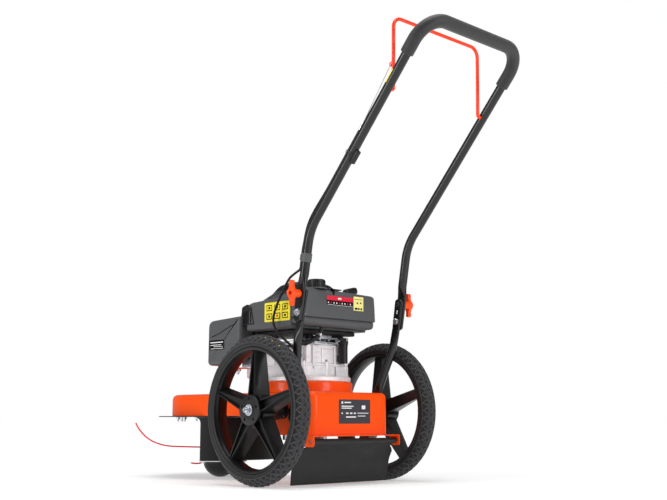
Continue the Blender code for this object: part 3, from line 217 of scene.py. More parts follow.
def materials():
    """Every finish on the machine; those of the CAD's parts have the names of their material slots."""
    return {
        # Moulded rubber: matt, a little dusty grey where it was handled, fine mould grain; a lighter grey is
        # painted on the tread's sharp edges as a highlight.
        "tyre_rubber": surface("moulded_tyre_rubber", ("1C1C1D", "29292A"), (0.6, 0.78), 1.2, patch=45,
            bump=0.25, specular=0.35, edge_highlight="5A5A5D"),
        # Plain opaque yellow ink for the dots that mark the tyre's balance.
        "dot": surface("yellow_ink", ("E0B020", "CFA01C"), (0.5, 0.6), 0.6, bump=0.1),
        # Glass-filled nylon: deep black, satin, with soft wide highlights and a faint fibre grain.
        "rim_plastic": surface("glass_filled_nylon", ("0E0E0F", "161618"), (0.3, 0.42), 0.9, patch=30,
            bump=0.12, specular=0.4),
        # Powder coat in orange: saturated, glossy skin over a faint orange-peel ripple.
        "deck_paint": surface("orange_powder_coat", ("FF4C00", "FF5802"), (0.3, 0.38), 2.2, patch=180,
            coat=0.2, coat_rough=0.08, bump=0.06, specular=0.15),
        # The same powder coat in black on steel tube: sharp highlights, faint ripple.
        "tube_paint": surface("black_powder_coat", ("060606", "0A0A0A"), (0.26, 0.34), 1.8, patch=120,
            coat=0.2, coat_rough=0.1, bump=0.06, specular=0.4),
        # Closed-cell foam sleeve: dull, velvety, small round cells.
        "grip_foam": surface("closed_cell_foam", ("121213", "1A1A1B"), (0.5, 0.6), 0.9, patch=25,
            sheen=0.2, bump=0.4, cells=True, specular=0.5),
        # Bright zinc plate on steel: cool silver with cloudy passivation.
        "zinc": surface("bright_zinc_plate", ("C4CAD4", "DDE0E4"), (0.22, 0.36), 0.7, patch=9,
            metallic=1.0, bump=0.12),
        # Die-cast aluminium, shot blasted: pale, slightly pink silver with a sandy skin.
        "cast_aluminium": surface("blasted_cast_aluminium", ("DDD7DA", "FFFCFE"), (0.32, 0.5), 1.1,
            patch=12, metallic=0.3, bump=0.5, cells=True),
        # Polypropylene shroud: dark grey, spark-eroded texture, soft sheen.
        "engine_plastic": surface("textured_grey_polypropylene", ("4A4B4D", "555658"), (0.4, 0.5), 0.8,
            patch=70, bump=0.35, cells=True, specular=0.4),
        # Black nylon fittings: satin, smooth.
        "black_plastic": surface("black_nylon", ("0C0C0D", "131314"), (0.34, 0.46), 0.8, patch=24,
            bump=0.15, specular=0.4),
        # Painted sheet steel under the machine: thin satin black with faint handling marks.
        "black_steel": surface("satin_black_paint", ("090909", "121213"), (0.35, 0.55), 1.5, patch=35,
            bump=0.1, specular=0.35),
        # Plain dark machined steel: fine turning lines.
        "steel": surface("turned_steel", ("7C7F84", "9A9DA2"), (0.28, 0.42), 0.5, patch=12, metallic=1.0,
            bump=0.2, stretch=(1, 1, 6)),
        # Orange acetal for the knobs: even colour, soft gloss.
        "orange_plastic": surface("orange_acetal", ("FF4800", "FF5408"), (0.32, 0.4), 0.9, patch=30,
            bump=0.08, specular=0.35),
        # Enamel on the bail's wire: red-orange, glossy.
        "bail_paint": surface("red_orange_enamel", ("FF3400", "FF3E04"), (0.27, 0.34), 1.2, patch=60,
            coat=0.25, bump=0.05, specular=0.35),
        # Extruded nylon trimmer line: bright red, slightly waxy.
        "nylon_line": surface("red_nylon_line", ("FF0A30", "E8082A"), (0.3, 0.38), 0.6, patch=12,
            bump=0.1),
        # Ribbon of calendered rubber sheet: matt charcoal, faint cloth impression.
        "black_rubber": surface("calendered_rubber_sheet", ("0F0F10", "19191A"), (0.42, 0.6), 1.4,
            patch=50, bump=0.3, stretch=(1, 1, 2), specular=0.4),
        # Polyethylene cable sheath: black, smooth.
        "cable_sheath": surface("black_polyethylene", ("050505", "0A0A0A"), (0.4, 0.5), 0.5, patch=20,
            bump=0.05, specular=0.3),
        # Printed films: each is one ink on a smooth glossy sticker. The black also serves as painted shade
        # behind louvres, in a slot and a groove, and the white as painted light in the brackets' slots.
        "yellow": surface("yellow_vinyl_film", ("F4E12E", "F7E63C"), (0.3, 0.36), 1.0, bump=0.03),
        "pale": surface("pale_yellow_vinyl_film", ("EFE48A", "F3E994"), (0.32, 0.38), 1.0, bump=0.03),
        "ink": surface("black_ink_and_painted_shade", ("0A0A0B", "101011"), (0.4, 0.46), 1.0, bump=0.03, specular=0.1),
        "slate": surface("slate_grey_film", ("2A2A30", "313138"), (0.34, 0.4), 1.0, bump=0.03),
        "white": surface("white_ink_and_painted_light", ("E6E6E8", "F2F2F3"), (0.35, 0.4), 1.0, bump=0.03),
        "red": surface("crimson_film", ("D8102E", "E0143C"), (0.3, 0.36), 1.0, bump=0.03),
    }


MAT = materials()


# -------- mesh helpers

def fit(obj, body, stands_for):
    """Rides a finished piece on its body, and hides the CAD parts it stands for; a blended piece has no body.
    """
    if not body:
        return obj
    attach(obj, body)
    if stands_for:
        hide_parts(*stands_for)
    return obj


def smooth(mesh, angle):
    mesh.shade_smooth()
    mesh.set_sharp_from_angle(angle=radians(angle))


def piece(name, bm, finishes, *stands_for, body="root", slot=None, angle=35, bevel=0.0):
    """Makes a mesh of closed shells into a shown piece, facing outwards.

    The slot argument is not used.
    """
    bmesh.ops.remove_doubles(bm, verts=bm.verts, dist=1e-6)
    bmesh.ops.recalc_face_normals(bm, faces=bm.faces)
    mesh = mesh_from(name, bm)
    mesh.transform(SHIFT)
    finishes = finishes if isinstance(finishes, list) else [finishes]
    for finish in finishes:
        mesh.materials.append(MAT[finish])
    smooth(mesh, angle)
    obj = shown(name, mesh)
    if bevel:
        soft = obj.modifiers.new("soft_edges", "BEVEL")
        soft.width = bevel
        soft.segments = 2
        soft.limit_method = "ANGLE"
        soft.angle_limit = radians(40)
        soft.harden_normals = True
    return fit(obj, body, stands_for)


def ink(faces, number):
    for face in faces:
        face.material_index = number


def loft(bm, rings, caps=True, closed=False):
    """Skins rings of the same number of points; closed joins the last ring to the first."""
    grid = [[bm.verts.new(p) for p in points] for points in rings]
    pairs = list(zip(grid, grid[1:]))
    if closed:
        pairs.append((grid[-1], grid[0]))
    faces = []
    for low, high in pairs:
        for i in range(len(low)):
            j = (i + 1) % len(low)
            faces.append(bm.faces.new((low[i], low[j], high[j], high[i])))
    if caps and not closed:
        faces.append(bm.faces.new(list(reversed(grid[0]))))
        faces.append(bm.faces.new(grid[-1]))
    return faces


def lathe(bm, profile, matrix=None, steps=48):
    """Turns a closed loop of (radius, height) points about local Z."""
    matrix = matrix or Matrix.Identity(4)
    rings = [[matrix @ Vector((max(r, 1e-7) * cos(2 * pi * i / steps),
                               max(r, 1e-7) * sin(2 * pi * i / steps), z)) for i in range(steps)] for r,
             z in profile]
    open_end = profile[0][0] == 0
    return loft(bm, rings, caps=False, closed=not open_end)


def turned(profile, matrix=None, steps=48):
    """A new shape of one such turning."""
    bm = bmesh.new()
    lathe(bm, profile, matrix, steps)
    return bm


def rounded_rod(radius, foot, top, edge):
    """Lathe profile of a solid rod with rounded ends."""
    steps = 3
    points = [(0.0, foot)]
    points += [(radius - edge + edge * sin(pi / 2 * i / steps), foot + edge - edge * cos(pi / 2 * i / steps))
               for i in range(steps + 1)]
    points += [(radius - edge + edge * cos(pi / 2 * i / steps), top - edge + edge * sin(pi / 2 * i / steps))
               for i in range(steps + 1)]
    return points + [(0.0, top)]


def ring_profile(outer, inner, foot, top, edge=0.0006):
    """Lathe profile of a washer or sleeve with small chamfers."""
    return [(inner, foot + edge), (inner + edge, foot), (outer - edge, foot), (outer, foot + edge),
            (outer, top - edge), (outer - edge, top), (inner + edge, top), (inner, top - edge)]


def rounded(corners, steps=6):
    """Outline of (x, y, radius) corners with arcs."""
    outline = []
    for i, (x, y, radius) in enumerate(corners):
        here = Vector((x, y))
        if radius <= 0:
            outline.append(here)
            continue
        before = (Vector(corners[i - 1][:2]) - here).normalized()
        after = (Vector(corners[(i + 1) % len(corners)][:2]) - here).normalized()
        half = acos(max(-1.0, min(1.0, before.dot(after)))) / 2
        centre = here + (before + after).normalized() * (radius / sin(half))
        reach = radius * cos(half) / sin(half)
        start, end = here + before * reach - centre, here + after * reach - centre
        sweep = pi - 2 * half
        outline += [centre + (start * sin((1 - k / steps) * sweep) + end
                              * sin(k / steps * sweep)) / sin(sweep) for k in range(steps + 1)]
    return outline


def rounded_box(x0, y0, x1, y1, radius, steps=6):
    return rounded([(x0, y0, radius), (x1, y0, radius), (x1, y1, radius), (x0, y1, radius)], steps)


def inset(outline, depth):
    """The outline moved inwards; it runs anticlockwise."""
    moved = []
    for i, here in enumerate(outline):
        back = (here - outline[i - 1]).normalized()
        on = (outline[(i + 1) % len(outline)] - here).normalized()
        side = Vector((-back.y - on.y, back.x + on.x)).normalized()
        lean = max(0.5, side.dot(Vector((-back.y, back.x))))
        moved.append(here + side * (depth / lean))
    return moved


def anticlockwise(outline):
    area = sum(a.x * b.y - b.x * a.y for a, b in zip(outline, outline[1:] + outline[:1]))
    return outline if area > 0 else list(reversed(outline))


def rounded_levels(foot, top, low_edge, high_edge, steps=4):
    """(height, inset) pairs of a wall whose lower and upper edges are rounded."""
    levels = [(foot + low_edge * (1 - cos(pi / 2 * i / steps)), low_edge * (1 - sin(pi / 2 * i / steps)))
              for i in range(steps + 1)] if low_edge else [(foot, 0.0)]
    if high_edge:
        levels += [(top - high_edge * (1 - sin(pi / 2 * i / steps)),
                    high_edge * (1 - cos(pi / 2 * i / steps))) for i in range(steps + 1)]
    else:
        levels.append((top, 0.0))
    return levels


def pressed(bm, outline, levels, matrix=None):
    """A solid with that outline from above, its wall following (height, inset) levels."""
    matrix = matrix or Matrix.Identity(4)
    outline = anticlockwise([Vector(p[:2]) for p in outline])
    rings = [[matrix @ Vector((p.x, p.y, z)) for p in inset(outline, depth)] for z, depth in levels]
    return loft(bm, rings)


def slab(bm, low, high, edge=0.0, matrix=None, corner=0.0, steps=3):
    """A box between two corners with rounded edges; corner is the radius seen from above."""
    (x0, y0, z0), (x1, y1, z1) = low, high
    corner = max(corner, edge * 1.01)
    return pressed(bm, rounded_box(x0, y0, x1, y1, corner, steps),
                   rounded_levels(z0, z1, edge, edge, steps), matrix)


def tube(bm, points, radius, sides=16, up=None):
    """A round tube through the points; up picks where its first side lies."""
    points = [Vector(p) for p in points]
    ahead = [(b - a).normalized() for a, b in zip(points, points[1:])]
    ahead.append(ahead[-1])
    middle_ahead = [ahead[0], *[(a + b).normalized() for a, b in zip(ahead, ahead[1:-1])], ahead[-1]]
    side = (up or Vector((0.3, 0.2, 1))).cross(middle_ahead[0]).normalized()
    rings = []
    for point, way in zip(points, middle_ahead):
        side = (side - way * side.dot(way)).normalized()
        other = way.cross(side)
        rings.append([point + (side * cos(2 * pi * k / sides) + other * sin(2 * pi * k / sides)) * radius
                      for k in range(sides)])
    return loft(bm, rings)


def smooth_route(points, spacing):
    """Evenly spaced points on a smooth curve through the given ones."""
    points = [Vector(p) for p in points]
    ends = [2 * points[0] - points[1], *points, 2 * points[-1] - points[-2]]
    fine = []
    for a, b, c, d in zip(ends, ends[1:], ends[2:], ends[3:]):
        for i in range(12):
            t = i / 12
            fine.append(0.5 * (2 * b + (c - a) * t + (2 * a - 5 * b + 4 * c - d) * t ** 2
                               + (3 * b - a - 3 * c + d) * t ** 3))
    fine.append(points[-1])
    lengths = [0.0]
    for start, end in zip(fine, fine[1:]):
        lengths.append(lengths[-1] + (end - start).length)
    count = max(2, round(lengths[-1] / spacing))
    route, run = [], 0
    for i in range(count + 1):
        goal = lengths[-1] * i / count
        while run < len(fine) - 2 and lengths[run + 1] < goal:
            run += 1
        share = (goal - lengths[run]) / (lengths[run + 1] - lengths[run])
        route.append(fine[run].lerp(fine[run + 1], min(1.0, share)))
    return route


def fillet(before, corner, after, radius, steps):
    """Points of the arc that rounds a corner between two straight runs."""
    before, corner, after = Vector(before), Vector(corner), Vector(after)
    back, on = (before - corner).normalized(), (after - corner).normalized()
    half = acos(max(-1.0, min(1.0, back.dot(on)))) / 2
    centre = corner + (back + on).normalized() * (radius / sin(half))
    reach = radius * cos(half) / sin(half)
    start, end = corner + back * reach - centre, corner + on * reach - centre
    sweep = pi - 2 * half
    return [centre + (start * sin((1 - i / steps) * sweep) + end * sin(i / steps * sweep)) / sin(sweep)
            for i in range(steps + 1)]


def hex_head(bm, matrix, across, height):
    """A hexagonal nut or bolt head with a chamfered top."""
    r = across / 2 / cos(pi / 6)
    lathe(bm, [(0.0, 0.0), (r, 0.0), (r, height * 0.8), (r * 0.9, height), (0.0, height)], matrix, 6)


def across_bolt(side, place, reach=0.0):
    """Local Z points outwards along X on the given side."""
    return at(Vector(place) + Vector((side * reach, 0, 0))) @ rotated(side * pi / 2, "Y")


# -------- geometry nodes

def realized(tree, copies, finish):
    """Ends a tree: the copies become one mesh with that finish."""
    real = add(tree, "GeometryNodeRealizeInstances", None, {"Geometry": copies.outputs[0]})
    coated = add(tree, "GeometryNodeSetMaterial", None, {"Geometry": real.outputs[0],
            "Material": MAT[finish]})
    add(tree, "NodeGroupOutput", None, {"Geometry": coated.outputs[0]})
    return tree


def new_tree(name, **inputs):
    """A tree that takes geometry and the given values; its input node's outputs come with it."""
    tree = bpy.data.node_groups.new(name, "GeometryNodeTree")
    for key, kind in (("Geometry", "Geometry"), *inputs.items()):
        tree.interface.new_socket(key, in_out="INPUT", socket_type="NodeSocket" + kind)
    tree.interface.new_socket("Geometry", in_out="OUTPUT", socket_type="NodeSocketGeometry")
    return tree, add(tree, "NodeGroupInput").outputs


def repeat_tree(finish):
    """Copies of the piece's own mesh: each is moved one Step further and turned one Turn more about Z."""
    tree, given = new_tree("repeat", Count="Int", Step="Vector", Turn="Float")
    number = add(tree, "GeometryNodeInputIndex").outputs[0]
    place = add(tree, "ShaderNodeVectorMath", {"operation": "SCALE"}, {0: given["Step"], "Scale": number})
    angle = add(tree, "ShaderNodeMath", {"operation": "MULTIPLY"}, {0: given["Turn"], 1: number})
    turned = add(tree, "ShaderNodeCombineXYZ", None, {"Z": angle.outputs[0]})
    points = add(tree, "GeometryNodePoints", None, {"Count": given["Count"]})
    placed = add(tree, "GeometryNodeSetPosition", None, {"Geometry": points.outputs[0],
            "Position": place.outputs[0]})
    copies = add(tree, "GeometryNodeInstanceOnPoints", None,
                 {"Points": placed.outputs[0], "Instance": given["Geometry"], "Rotation": turned.outputs[0]})
    return realized(tree, copies, finish)


def along_tree(finish, unit):
    """Copies of the unit along the piece's own line of edges, facing along it."""
    tree, given = new_tree("along_line", Spacing="Float")
    line = add(tree, "GeometryNodeMeshToCurve", None, {"Mesh": given["Geometry"]})
    spaced = add(tree, "GeometryNodeResampleCurve", {"mode": "LENGTH"},
                 {"Curve": line.outputs[0], "Length": given["Spacing"]})
    way = add(tree, "GeometryNodeInputTangent").outputs[0]
    facing = add(tree, "FunctionNodeAlignRotationToVector", {"axis": "Z"}, {"Vector": way})
    shape = add(tree, "GeometryNodeObjectInfo", None, {"Object": unit})
    copies = add(tree, "GeometryNodeInstanceOnPoints", None, {"Points": spaced.outputs[0],
            "Instance": shape.outputs["Geometry"], "Rotation": facing.outputs[0]})
    return realized(tree, copies, finish)


def grown(obj, tree, values, matrix=None):
    """Runs a tree on the object, keeps its result as a plain mesh in place, and drops the tree."""
    step = obj.modifiers.new("repeat", "NODES")
    step.node_group = tree
    ids = {item.name: item.identifier for item in tree.interface.items_tree if item.in_out == "INPUT"}
    for key, value in values.items():
        step[ids[key]] = value
    graph = bpy.context.evaluated_depsgraph_get()
    mesh = bpy.data.meshes.new_from_object(obj.evaluated_get(graph))
    obj.modifiers.remove(step)
    mesh.transform(SHIFT @ (matrix or Matrix.Identity(4)))
    obj.data = mesh


def repeated(name, bm, finish, count, body="root", step=(0, 0, 0), turn=0.0, matrix=None, angle=35):
    """A piece made of equal copies of one small mesh."""
    bmesh.ops.recalc_face_normals(bm, faces=bm.faces)
    obj = shown(name, mesh_from(name, bm))
    grown(obj, repeat_tree(finish), {"Count": count, "Step": step, "Turn": turn}, matrix)
    smooth(obj.data, angle)
    fit(obj, body, ())


# -------- cutting lines

HEAD_Y = centre_of("trimmer_head").y
LINE_R = 0.00195
LINE_Z = 0.08
LINE_LENGTHS = (0.2, 0.13)
HEAD_R = (from_axle("trimmer_head")[1] - from_axle("trimmer_head")[0]).x / 2


def head_exit(angle):
    """Where a line leaves the trimmer head."""
    reach = HEAD_R + LINE_R
    return polar(reach, angle, LINE_Z)


def cutting_lines():
    """Two free ends of nylon line, cut off square, standing out of the head by their own stiffness."""
    first = [head_exit(radians(-44)), (0.07, -0.0676, 0.0812), (0.105, -0.1014, 0.0835),
             (0.13, -0.1255, 0.0925), (0.148, -0.1429, 0.107), (0.163, -0.1574, 0.129),
             (0.17, -0.1641, 0.146)]
    second = [head_exit(radians(46)), (0.056, 0.05, 0.074), (0.085, 0.061, 0.056),
              (0.112, 0.064, 0.043), (0.139, 0.07, 0.042), (0.153, 0.0735, 0.044)]
    shift = FROM_AXLE + Vector((0, HEAD_Y, 0))
    for number, (points, length) in enumerate(zip((first, second), LINE_LENGTHS), 1):
        route = smooth_route([Vector(p) + shift for p in points], 0.01)
        curve = bpy.data.curves.new(f"cutting_line_{number}", "CURVE")
        curve.dimensions = "3D"
        curve.bevel_depth = LINE_R
        curve.bevel_resolution = 5
        curve.use_fill_caps = True
        spline = curve.splines.new("POLY")
        spline.points.add(len(route) - 1)
        for point, place in zip(spline.points, route):
            point.co = (*place, 1.0)
        spline.use_smooth = True
        curve.materials.append(MAT["nylon_line"])
        obj = shown(f"cutting_line_{number}", curve)
        fit(obj, "trimmer_head", [f"trimmer_line_{number}"])


# -------- wheels

TYRE_LOW, TYRE_HIGH = from_axle("left_tyre")
WHEEL_R = (TYRE_HIGH.z - TYRE_LOW.z) / 2
WHEEL_X = (TYRE_HIGH.x + TYRE_LOW.x) / 2
AXLE_Z = (TYRE_HIGH.z + TYRE_LOW.z) / 2
HALF_TYRE = (TYRE_HIGH.x - TYRE_LOW.x) / 2
RIM_LOW, RIM_HIGH = from_axle("left_rim")
BEAD_R = (RIM_HIGH.z - RIM_LOW.z) / 2 + GAP
RIM_HALF = 0.021
HUB_OUT = RIM_HIGH.x - WHEEL_X
HUB_IN = WHEEL_X - RIM_LOW.x
CROWN = 0.02           # how far the tread's edge lies below its middle
TREAD_DEPTH = 0.0028
TREAD_PITCHES = 52
TREAD_ROWS = (-0.0162, -0.0081, 0.0, 0.0081, 0.0162)
SPOKES = 5
AXLE_R = 0.006
HUB_DISC_R = 0.0365


def wheel_turn(side):
    """Local Z points outwards, and one spoke points straight up on both sides."""
    if side > 0:
        return rotated(pi / 2, "Y")
    return rotated(-pi / 2, "Y") @ rotated(pi, "Z")


def wheel_frame(side):
    return at((side * WHEEL_X, 0, AXLE_Z)) @ wheel_turn(side)


def tread_point(across, along, lift):
    """A point of the tread: across the tyre, along its round, and lifted off the groove's floor."""
    slope = -2 * CROWN * across / HALF_TYRE ** 2
    radius = WHEEL_R - CROWN * (across / HALF_TYRE) ** 2
    lean = sqrt(1 + slope ** 2)
    radius += (lift - TREAD_DEPTH) / lean
    return Vector((radius * cos(along), radius * sin(along), across - slope * (lift - TREAD_DEPTH) / lean))


def tyre_profile():
    """The carcass: groove floor over the crown, a raised lip, a round sidewall and the bead."""
    crown = []
    for i in range(-9, 10):
        spot = tread_point(HALF_TYRE * 0.93 * i / 9, 0.0, 0.0)
        crown.append((spot.x, spot.z))
    wall = [(WHEEL_R - 0.018, HALF_TYRE - 0.0001), (WHEEL_R - 0.0192, HALF_TYRE),
            (WHEEL_R - 0.0204, HALF_TYRE - 0.0004), (WHEEL_R - 0.0212, HALF_TYRE - 0.0012),
            (WHEEL_R - 0.024, HALF_TYRE - 0.0013), (BEAD_R + 0.002, HALF_TYRE - 0.0024),
            (BEAD_R, HALF_TYRE - 0.0045)]
    other = [(r, -z) for r, z in reversed(wall)]
    return [*other, *crown, *wall]


def tread_unit():
    """One pitch of the tread: a diamond stud with a shallow well in each row."""
    bm = bmesh.new()
    pitch = 2 * pi / TREAD_PITCHES
    for row, across in enumerate(TREAD_ROWS):
        middle_along = pitch / 2 * (row % 2)
        rings = []
        for share, lift in ((0.97, -0.0006), (0.84, TREAD_DEPTH * 0.92), (0.76, TREAD_DEPTH),
                            (0.48, TREAD_DEPTH), (0.38, TREAD_DEPTH * 0.62)):
            corners = [(1, 0), (0, 1), (-1, 0), (0, -1)]
            ring = []
            for a, b in zip(corners, corners[1:] + corners[:1]):
                for t in (0.06, 0.5, 0.94):
                    z = across + (a[0] * (1 - t) + b[0] * t) * 0.0079 * share
                    u = middle_along + (a[1] * (1 - t) + b[1] * t) * pitch / 2 * share
                    ring.append(tread_point(z, u, lift))
            rings.append(ring)
        loft(bm, rings)
    return bm


def rim_profile():
    """The barrel: rolled outer lip, deep inner wall and a step behind the spokes."""
    outer = BEAD_R - 2 * GAP
    half = RIM_HALF
    return [(outer, -half + 0.001), (outer, half - 0.001), (outer - 0.001, half), (outer - 0.0055, half),
            (outer - 0.0072, half - 0.0008), (outer - 0.0082, half - 0.0028), (outer - 0.0086, half - 0.009),
            (outer - 0.01, half - 0.0105), (outer - 0.0108, half - 0.014), (outer - 0.0108, -half + 0.01),
            (outer - 0.0092, -half + 0.0075), (outer - 0.008, -half + 0.0025), (outer - 0.0068, -half),
            (outer - 0.001, -half)]


def spoke_unit():
    """One spoke on local -X: a channel whose open front narrows to a point near the rim."""
    bm = bmesh.new()
    start, end = 0.02, BEAD_R - 0.0095
    rings = []
    for i in range(9):
        t = i / 8
        r = start + (end - start) * t
        back = 0.017 * (1 - t) + 0.0128 * t
        front = 0.015 * (1 - t) + 0.0046 * t
        floor_half = max(0.0004, front - 0.003)
        shoulder = 0.0165 * (1 - t) + 0.0098 * t
        low = -0.027 * (1 - t) - 0.015 * t
        high = 0.019 * (1 - t) + 0.014 * t
        floor = high - (0.012 * (1 - t) + 0.005 * t)
        outline = [(-back, low), (-back + 0.0008, low - 0.0008), (back - 0.0008, low - 0.0008), (back, low),
                   (shoulder, high - 0.016), (front + 0.0004, high - 0.001), (front - 0.0004, high),
                   (front - 0.0022, high), (floor_half, high - 0.0008), (floor_half * 0.9, floor),
                   (-floor_half * 0.9, floor), (-floor_half, high - 0.0008), (-front + 0.0022, high),
                   (-front + 0.0004, high), (-front - 0.0004, high - 0.001), (-shoulder, high - 0.016)]
        rings.append([Vector((-r, across, z)) for across, z in outline])
    loft(bm, rings)
    return bm


def hub(bm):
    """Face disc with five holes and the long barrel that reaches in towards the deck."""
    barrel = [(AXLE_R + 0.0005, -HUB_IN), (0.0225, -HUB_IN), (0.0235, -HUB_IN + 0.001), (0.03, 0.004),
              (0.03, HUB_OUT - 0.0075), (HUB_DISC_R - 0.001, HUB_OUT - 0.0065),
              (HUB_DISC_R, HUB_OUT - 0.0055), (HUB_DISC_R, HUB_OUT - 0.0016),
              (HUB_DISC_R - 0.0008, HUB_OUT - 0.0004), (HUB_DISC_R - 0.002, HUB_OUT), (0.0185, HUB_OUT),
              (0.0175, HUB_OUT - 0.0008), (AXLE_R + 0.0005, HUB_OUT - 0.0008)]
    lathe(bm, barrel, steps=64)
    cutter = bmesh.new()
    for i in range(SPOKES):
        angle = pi + pi / SPOKES + 2 * pi * i / SPOKES + radians(36)
        place = at(polar(0.0268, angle, HUB_OUT - 0.004))
        lathe(cutter, [(0.0, 0.0), (0.003, 0.0), (0.003, 0.01), (0.0, 0.01)], place, 20)
    return carved(bm, cutter)


def carved(bm, cutter):
    """The shape with the cutter taken away."""
    solids = []
    for shape in (bm, cutter):
        bmesh.ops.remove_doubles(shape, verts=shape.verts, dist=1e-6)
        bmesh.ops.recalc_face_normals(shape, faces=shape.faces)
        solids.append(shown("carving", mesh_from("carving", shape)))
    step = solids[0].modifiers.new("carve", "BOOLEAN")
    step.operation = "DIFFERENCE"
    step.solver = "EXACT"
    step.object = solids[1]
    graph = bpy.context.evaluated_depsgraph_get()
    mesh = bpy.data.meshes.new_from_object(solids[0].evaluated_get(graph))
    for obj in solids:
        bpy.data.objects.remove(obj)
    done = bmesh.new()
    done.from_mesh(mesh)
    return done


def wheels():
    for side, word in ((1, "left"), (-1, "right")):
        body = f"{word}_wheel"
        place = wheel_frame(side)
        bm = turned(tyre_profile(), place, 128)
        piece(f"{word}_tyre_carcass", bm, "tyre_rubber", f"{word}_tyre", body=body, angle=50)
        repeated(f"{word}_tyre_tread", tread_unit(), "tyre_rubber", TREAD_PITCHES, body,
                 turn=2 * pi / TREAD_PITCHES, matrix=place)
        bm = turned(rim_profile(), place, 128)
        piece(f"{word}_rim_barrel", bm, "rim_plastic", f"{word}_rim", body=body, angle=40)
        repeated(f"{word}_rim_spokes", spoke_unit(), "rim_plastic", SPOKES, body, turn=2 * pi / SPOKES,
                 matrix=place, angle=30)
        bm = hub(bmesh.new())
        bm.transform(place)
        piece(f"{word}_hub", bm, "rim_plastic", body=body)
        bosses(word, body, place)
        wheel_fixings(side, word)
    balance_dots()


def bosses(word, body, place):
    """Screw bosses between the spokes, behind the hub's face."""
    bm = bmesh.new()
    spot = rotated(pi / SPOKES, "Z") @ at((-0.0345, 0, 0))
    lathe(bm, rounded_rod(0.0075, -0.024, 0.013, 0.0012), spot, 24)
    repeated(f"{word}_hub_bosses", bm, "rim_plastic", SPOKES, body, turn=2 * pi / SPOKES, matrix=place)


def balance_dots():
    """Three ink dots on the left tyre's tread."""
    bm = bmesh.new()
    for i in range(3):
        spot = tread_point(0.0125, 0, TREAD_DEPTH + 0.0001)
        turn = rotated(pi - radians(14 + 9 * i), "Z")
        lathe(bm, [(0.0, 0.0), (0.0016, 0.0), (0.0015, 0.0004), (0.0, 0.0004)],
              wheel_frame(1) @ turn @ at(spot) @ rotated(radians(62), "Y"), 12)
    piece("tyre_balance_dots", bm, "dot", body="left_wheel", slot="tyre_rubber")


def wheel_fixings(side, word):
    """Washer, hexagonal nut and the plastic boss against the deck's wall."""
    place = across_bolt(side, (0, 0, AXLE_Z), WHEEL_X + HUB_OUT)
    bm = bmesh.new()
    lathe(bm, ring_profile(0.0135, AXLE_R + GAP, 0.0002, 0.0022, 0.0004), place, 48)
    hex_head(bm, place @ at((0, 0, 0.0022)), 0.018, 0.0062)
    piece(f"{word}_wheel_washer_and_nut", bm, "zinc", f"{word}_wheel_nut", angle=25, bevel=0.0003)
    half = from_axle("deck")[1].x
    place = across_bolt(side, (0, 0, AXLE_Z), half + GAP)
    bm = turned([(AXLE_R, 0.0), (0.0205, 0.0), (0.021, 0.0006), (0.021, 0.0048), (0.0202, 0.006),
                 (0.0135, 0.0068), (0.0118, 0.0085), (0.011, 0.013), (0.0104, 0.0135), (AXLE_R, 0.0135)],
                place, 48)
    piece(f"{word}_axle_collar", bm, "black_plastic", f"{word}_axle_boss", angle=30)
    bm = bmesh.new()
    for angle in (35, 155, 275):
        spot = rotated(radians(angle), "Z") @ at((0.0165, 0, 0.0062))
        lathe(bm, rounded_rod(0.0024, 0.0, 0.0017, 0.0006), place @ spot, 16)
    piece(f"{word}_axle_collar_screws", bm, "zinc", angle=30)


def axle():
    """Ground bar with a drilled and threaded end on each side."""
    bm = bmesh.new()
    end = from_axle("axle")[1].x
    thread = []
    start = WHEEL_X + HUB_OUT + 0.0085
    turns = 6
    pitch = (end - 0.001 - start) / turns
    for i in range(turns):
        thread += [(AXLE_R - 0.0006, start + pitch * i), (AXLE_R, start + pitch * (i + 0.5))]
    half = [(AXLE_R, 0.0), (AXLE_R, start - 0.0004), *thread, (AXLE_R - 0.0006, end - 0.0006),
            (AXLE_R - 0.0012, end), (0.0032, end), (0.0027, end - 0.0006), (0.0027, end - 0.009),
            (0.0, end - 0.009)]
    profile = [(r, -z) for r, z in reversed(half)] + half[1:]
    lathe(bm, profile, at((0, 0, AXLE_Z)) @ rotated(pi / 2, "Y"), 32)
    piece("axle_bar", bm, "zinc", "axle", angle=40)


# -------- deck

DECK_LOW, DECK_HIGH = from_axle("deck")
DECK_TOP = DECK_HIGH.z
DECK_HALF = DECK_HIGH.x
DECK_REAR = DECK_HIGH.y
REAR_BOTTOM = DECK_LOW.z
FRONT_BOTTOM = 0.165
SWEEP_REAR = -0.09
SWEEP_FRONT = -0.175
DECK_CORNER = 0.022
DECK_ROUND = 0.014
SHEET = 0.0025
ENGINE_Y = centre_of("crankshaft").y


def lower_edge(y):
    """Height of the deck's lower edge: low at the rear, high under the trimmer end."""
    share = max(0.0, min(1.0, (SWEEP_REAR - y) / (SWEEP_REAR - SWEEP_FRONT)))
    return REAR_BOTTOM + (FRONT_BOTTOM - REAR_BOTTOM) * (3 - 2 * share) * share ** 2


def deck_outline():
    """The deck from above: square rear with round corners, straight sides, half-round front."""
    half, corner = DECK_HALF, DECK_CORNER
    points = [Vector((half - corner + corner * sin(a), DECK_REAR - corner + corner * cos(a)))
              for a in (pi / 2 * i / 10 for i in range(11))]
    span = SWEEP_REAR - SWEEP_FRONT
    points += [Vector((half, SWEEP_REAR - span * i / 12)) for i in range(13)]
    points += [Vector((half * cos(a), HEAD_Y - half * sin(a))) for a in (pi * i / 40 for i in range(41))]
    points += [Vector((-half, SWEEP_FRONT + span * i / 12)) for i in range(13)]
    points += [Vector((-half + corner - corner * cos(a), DECK_REAR - corner + corner * sin(a)))
               for a in (pi / 2 * i / 10 for i in range(11))]
    return anticlockwise(points)


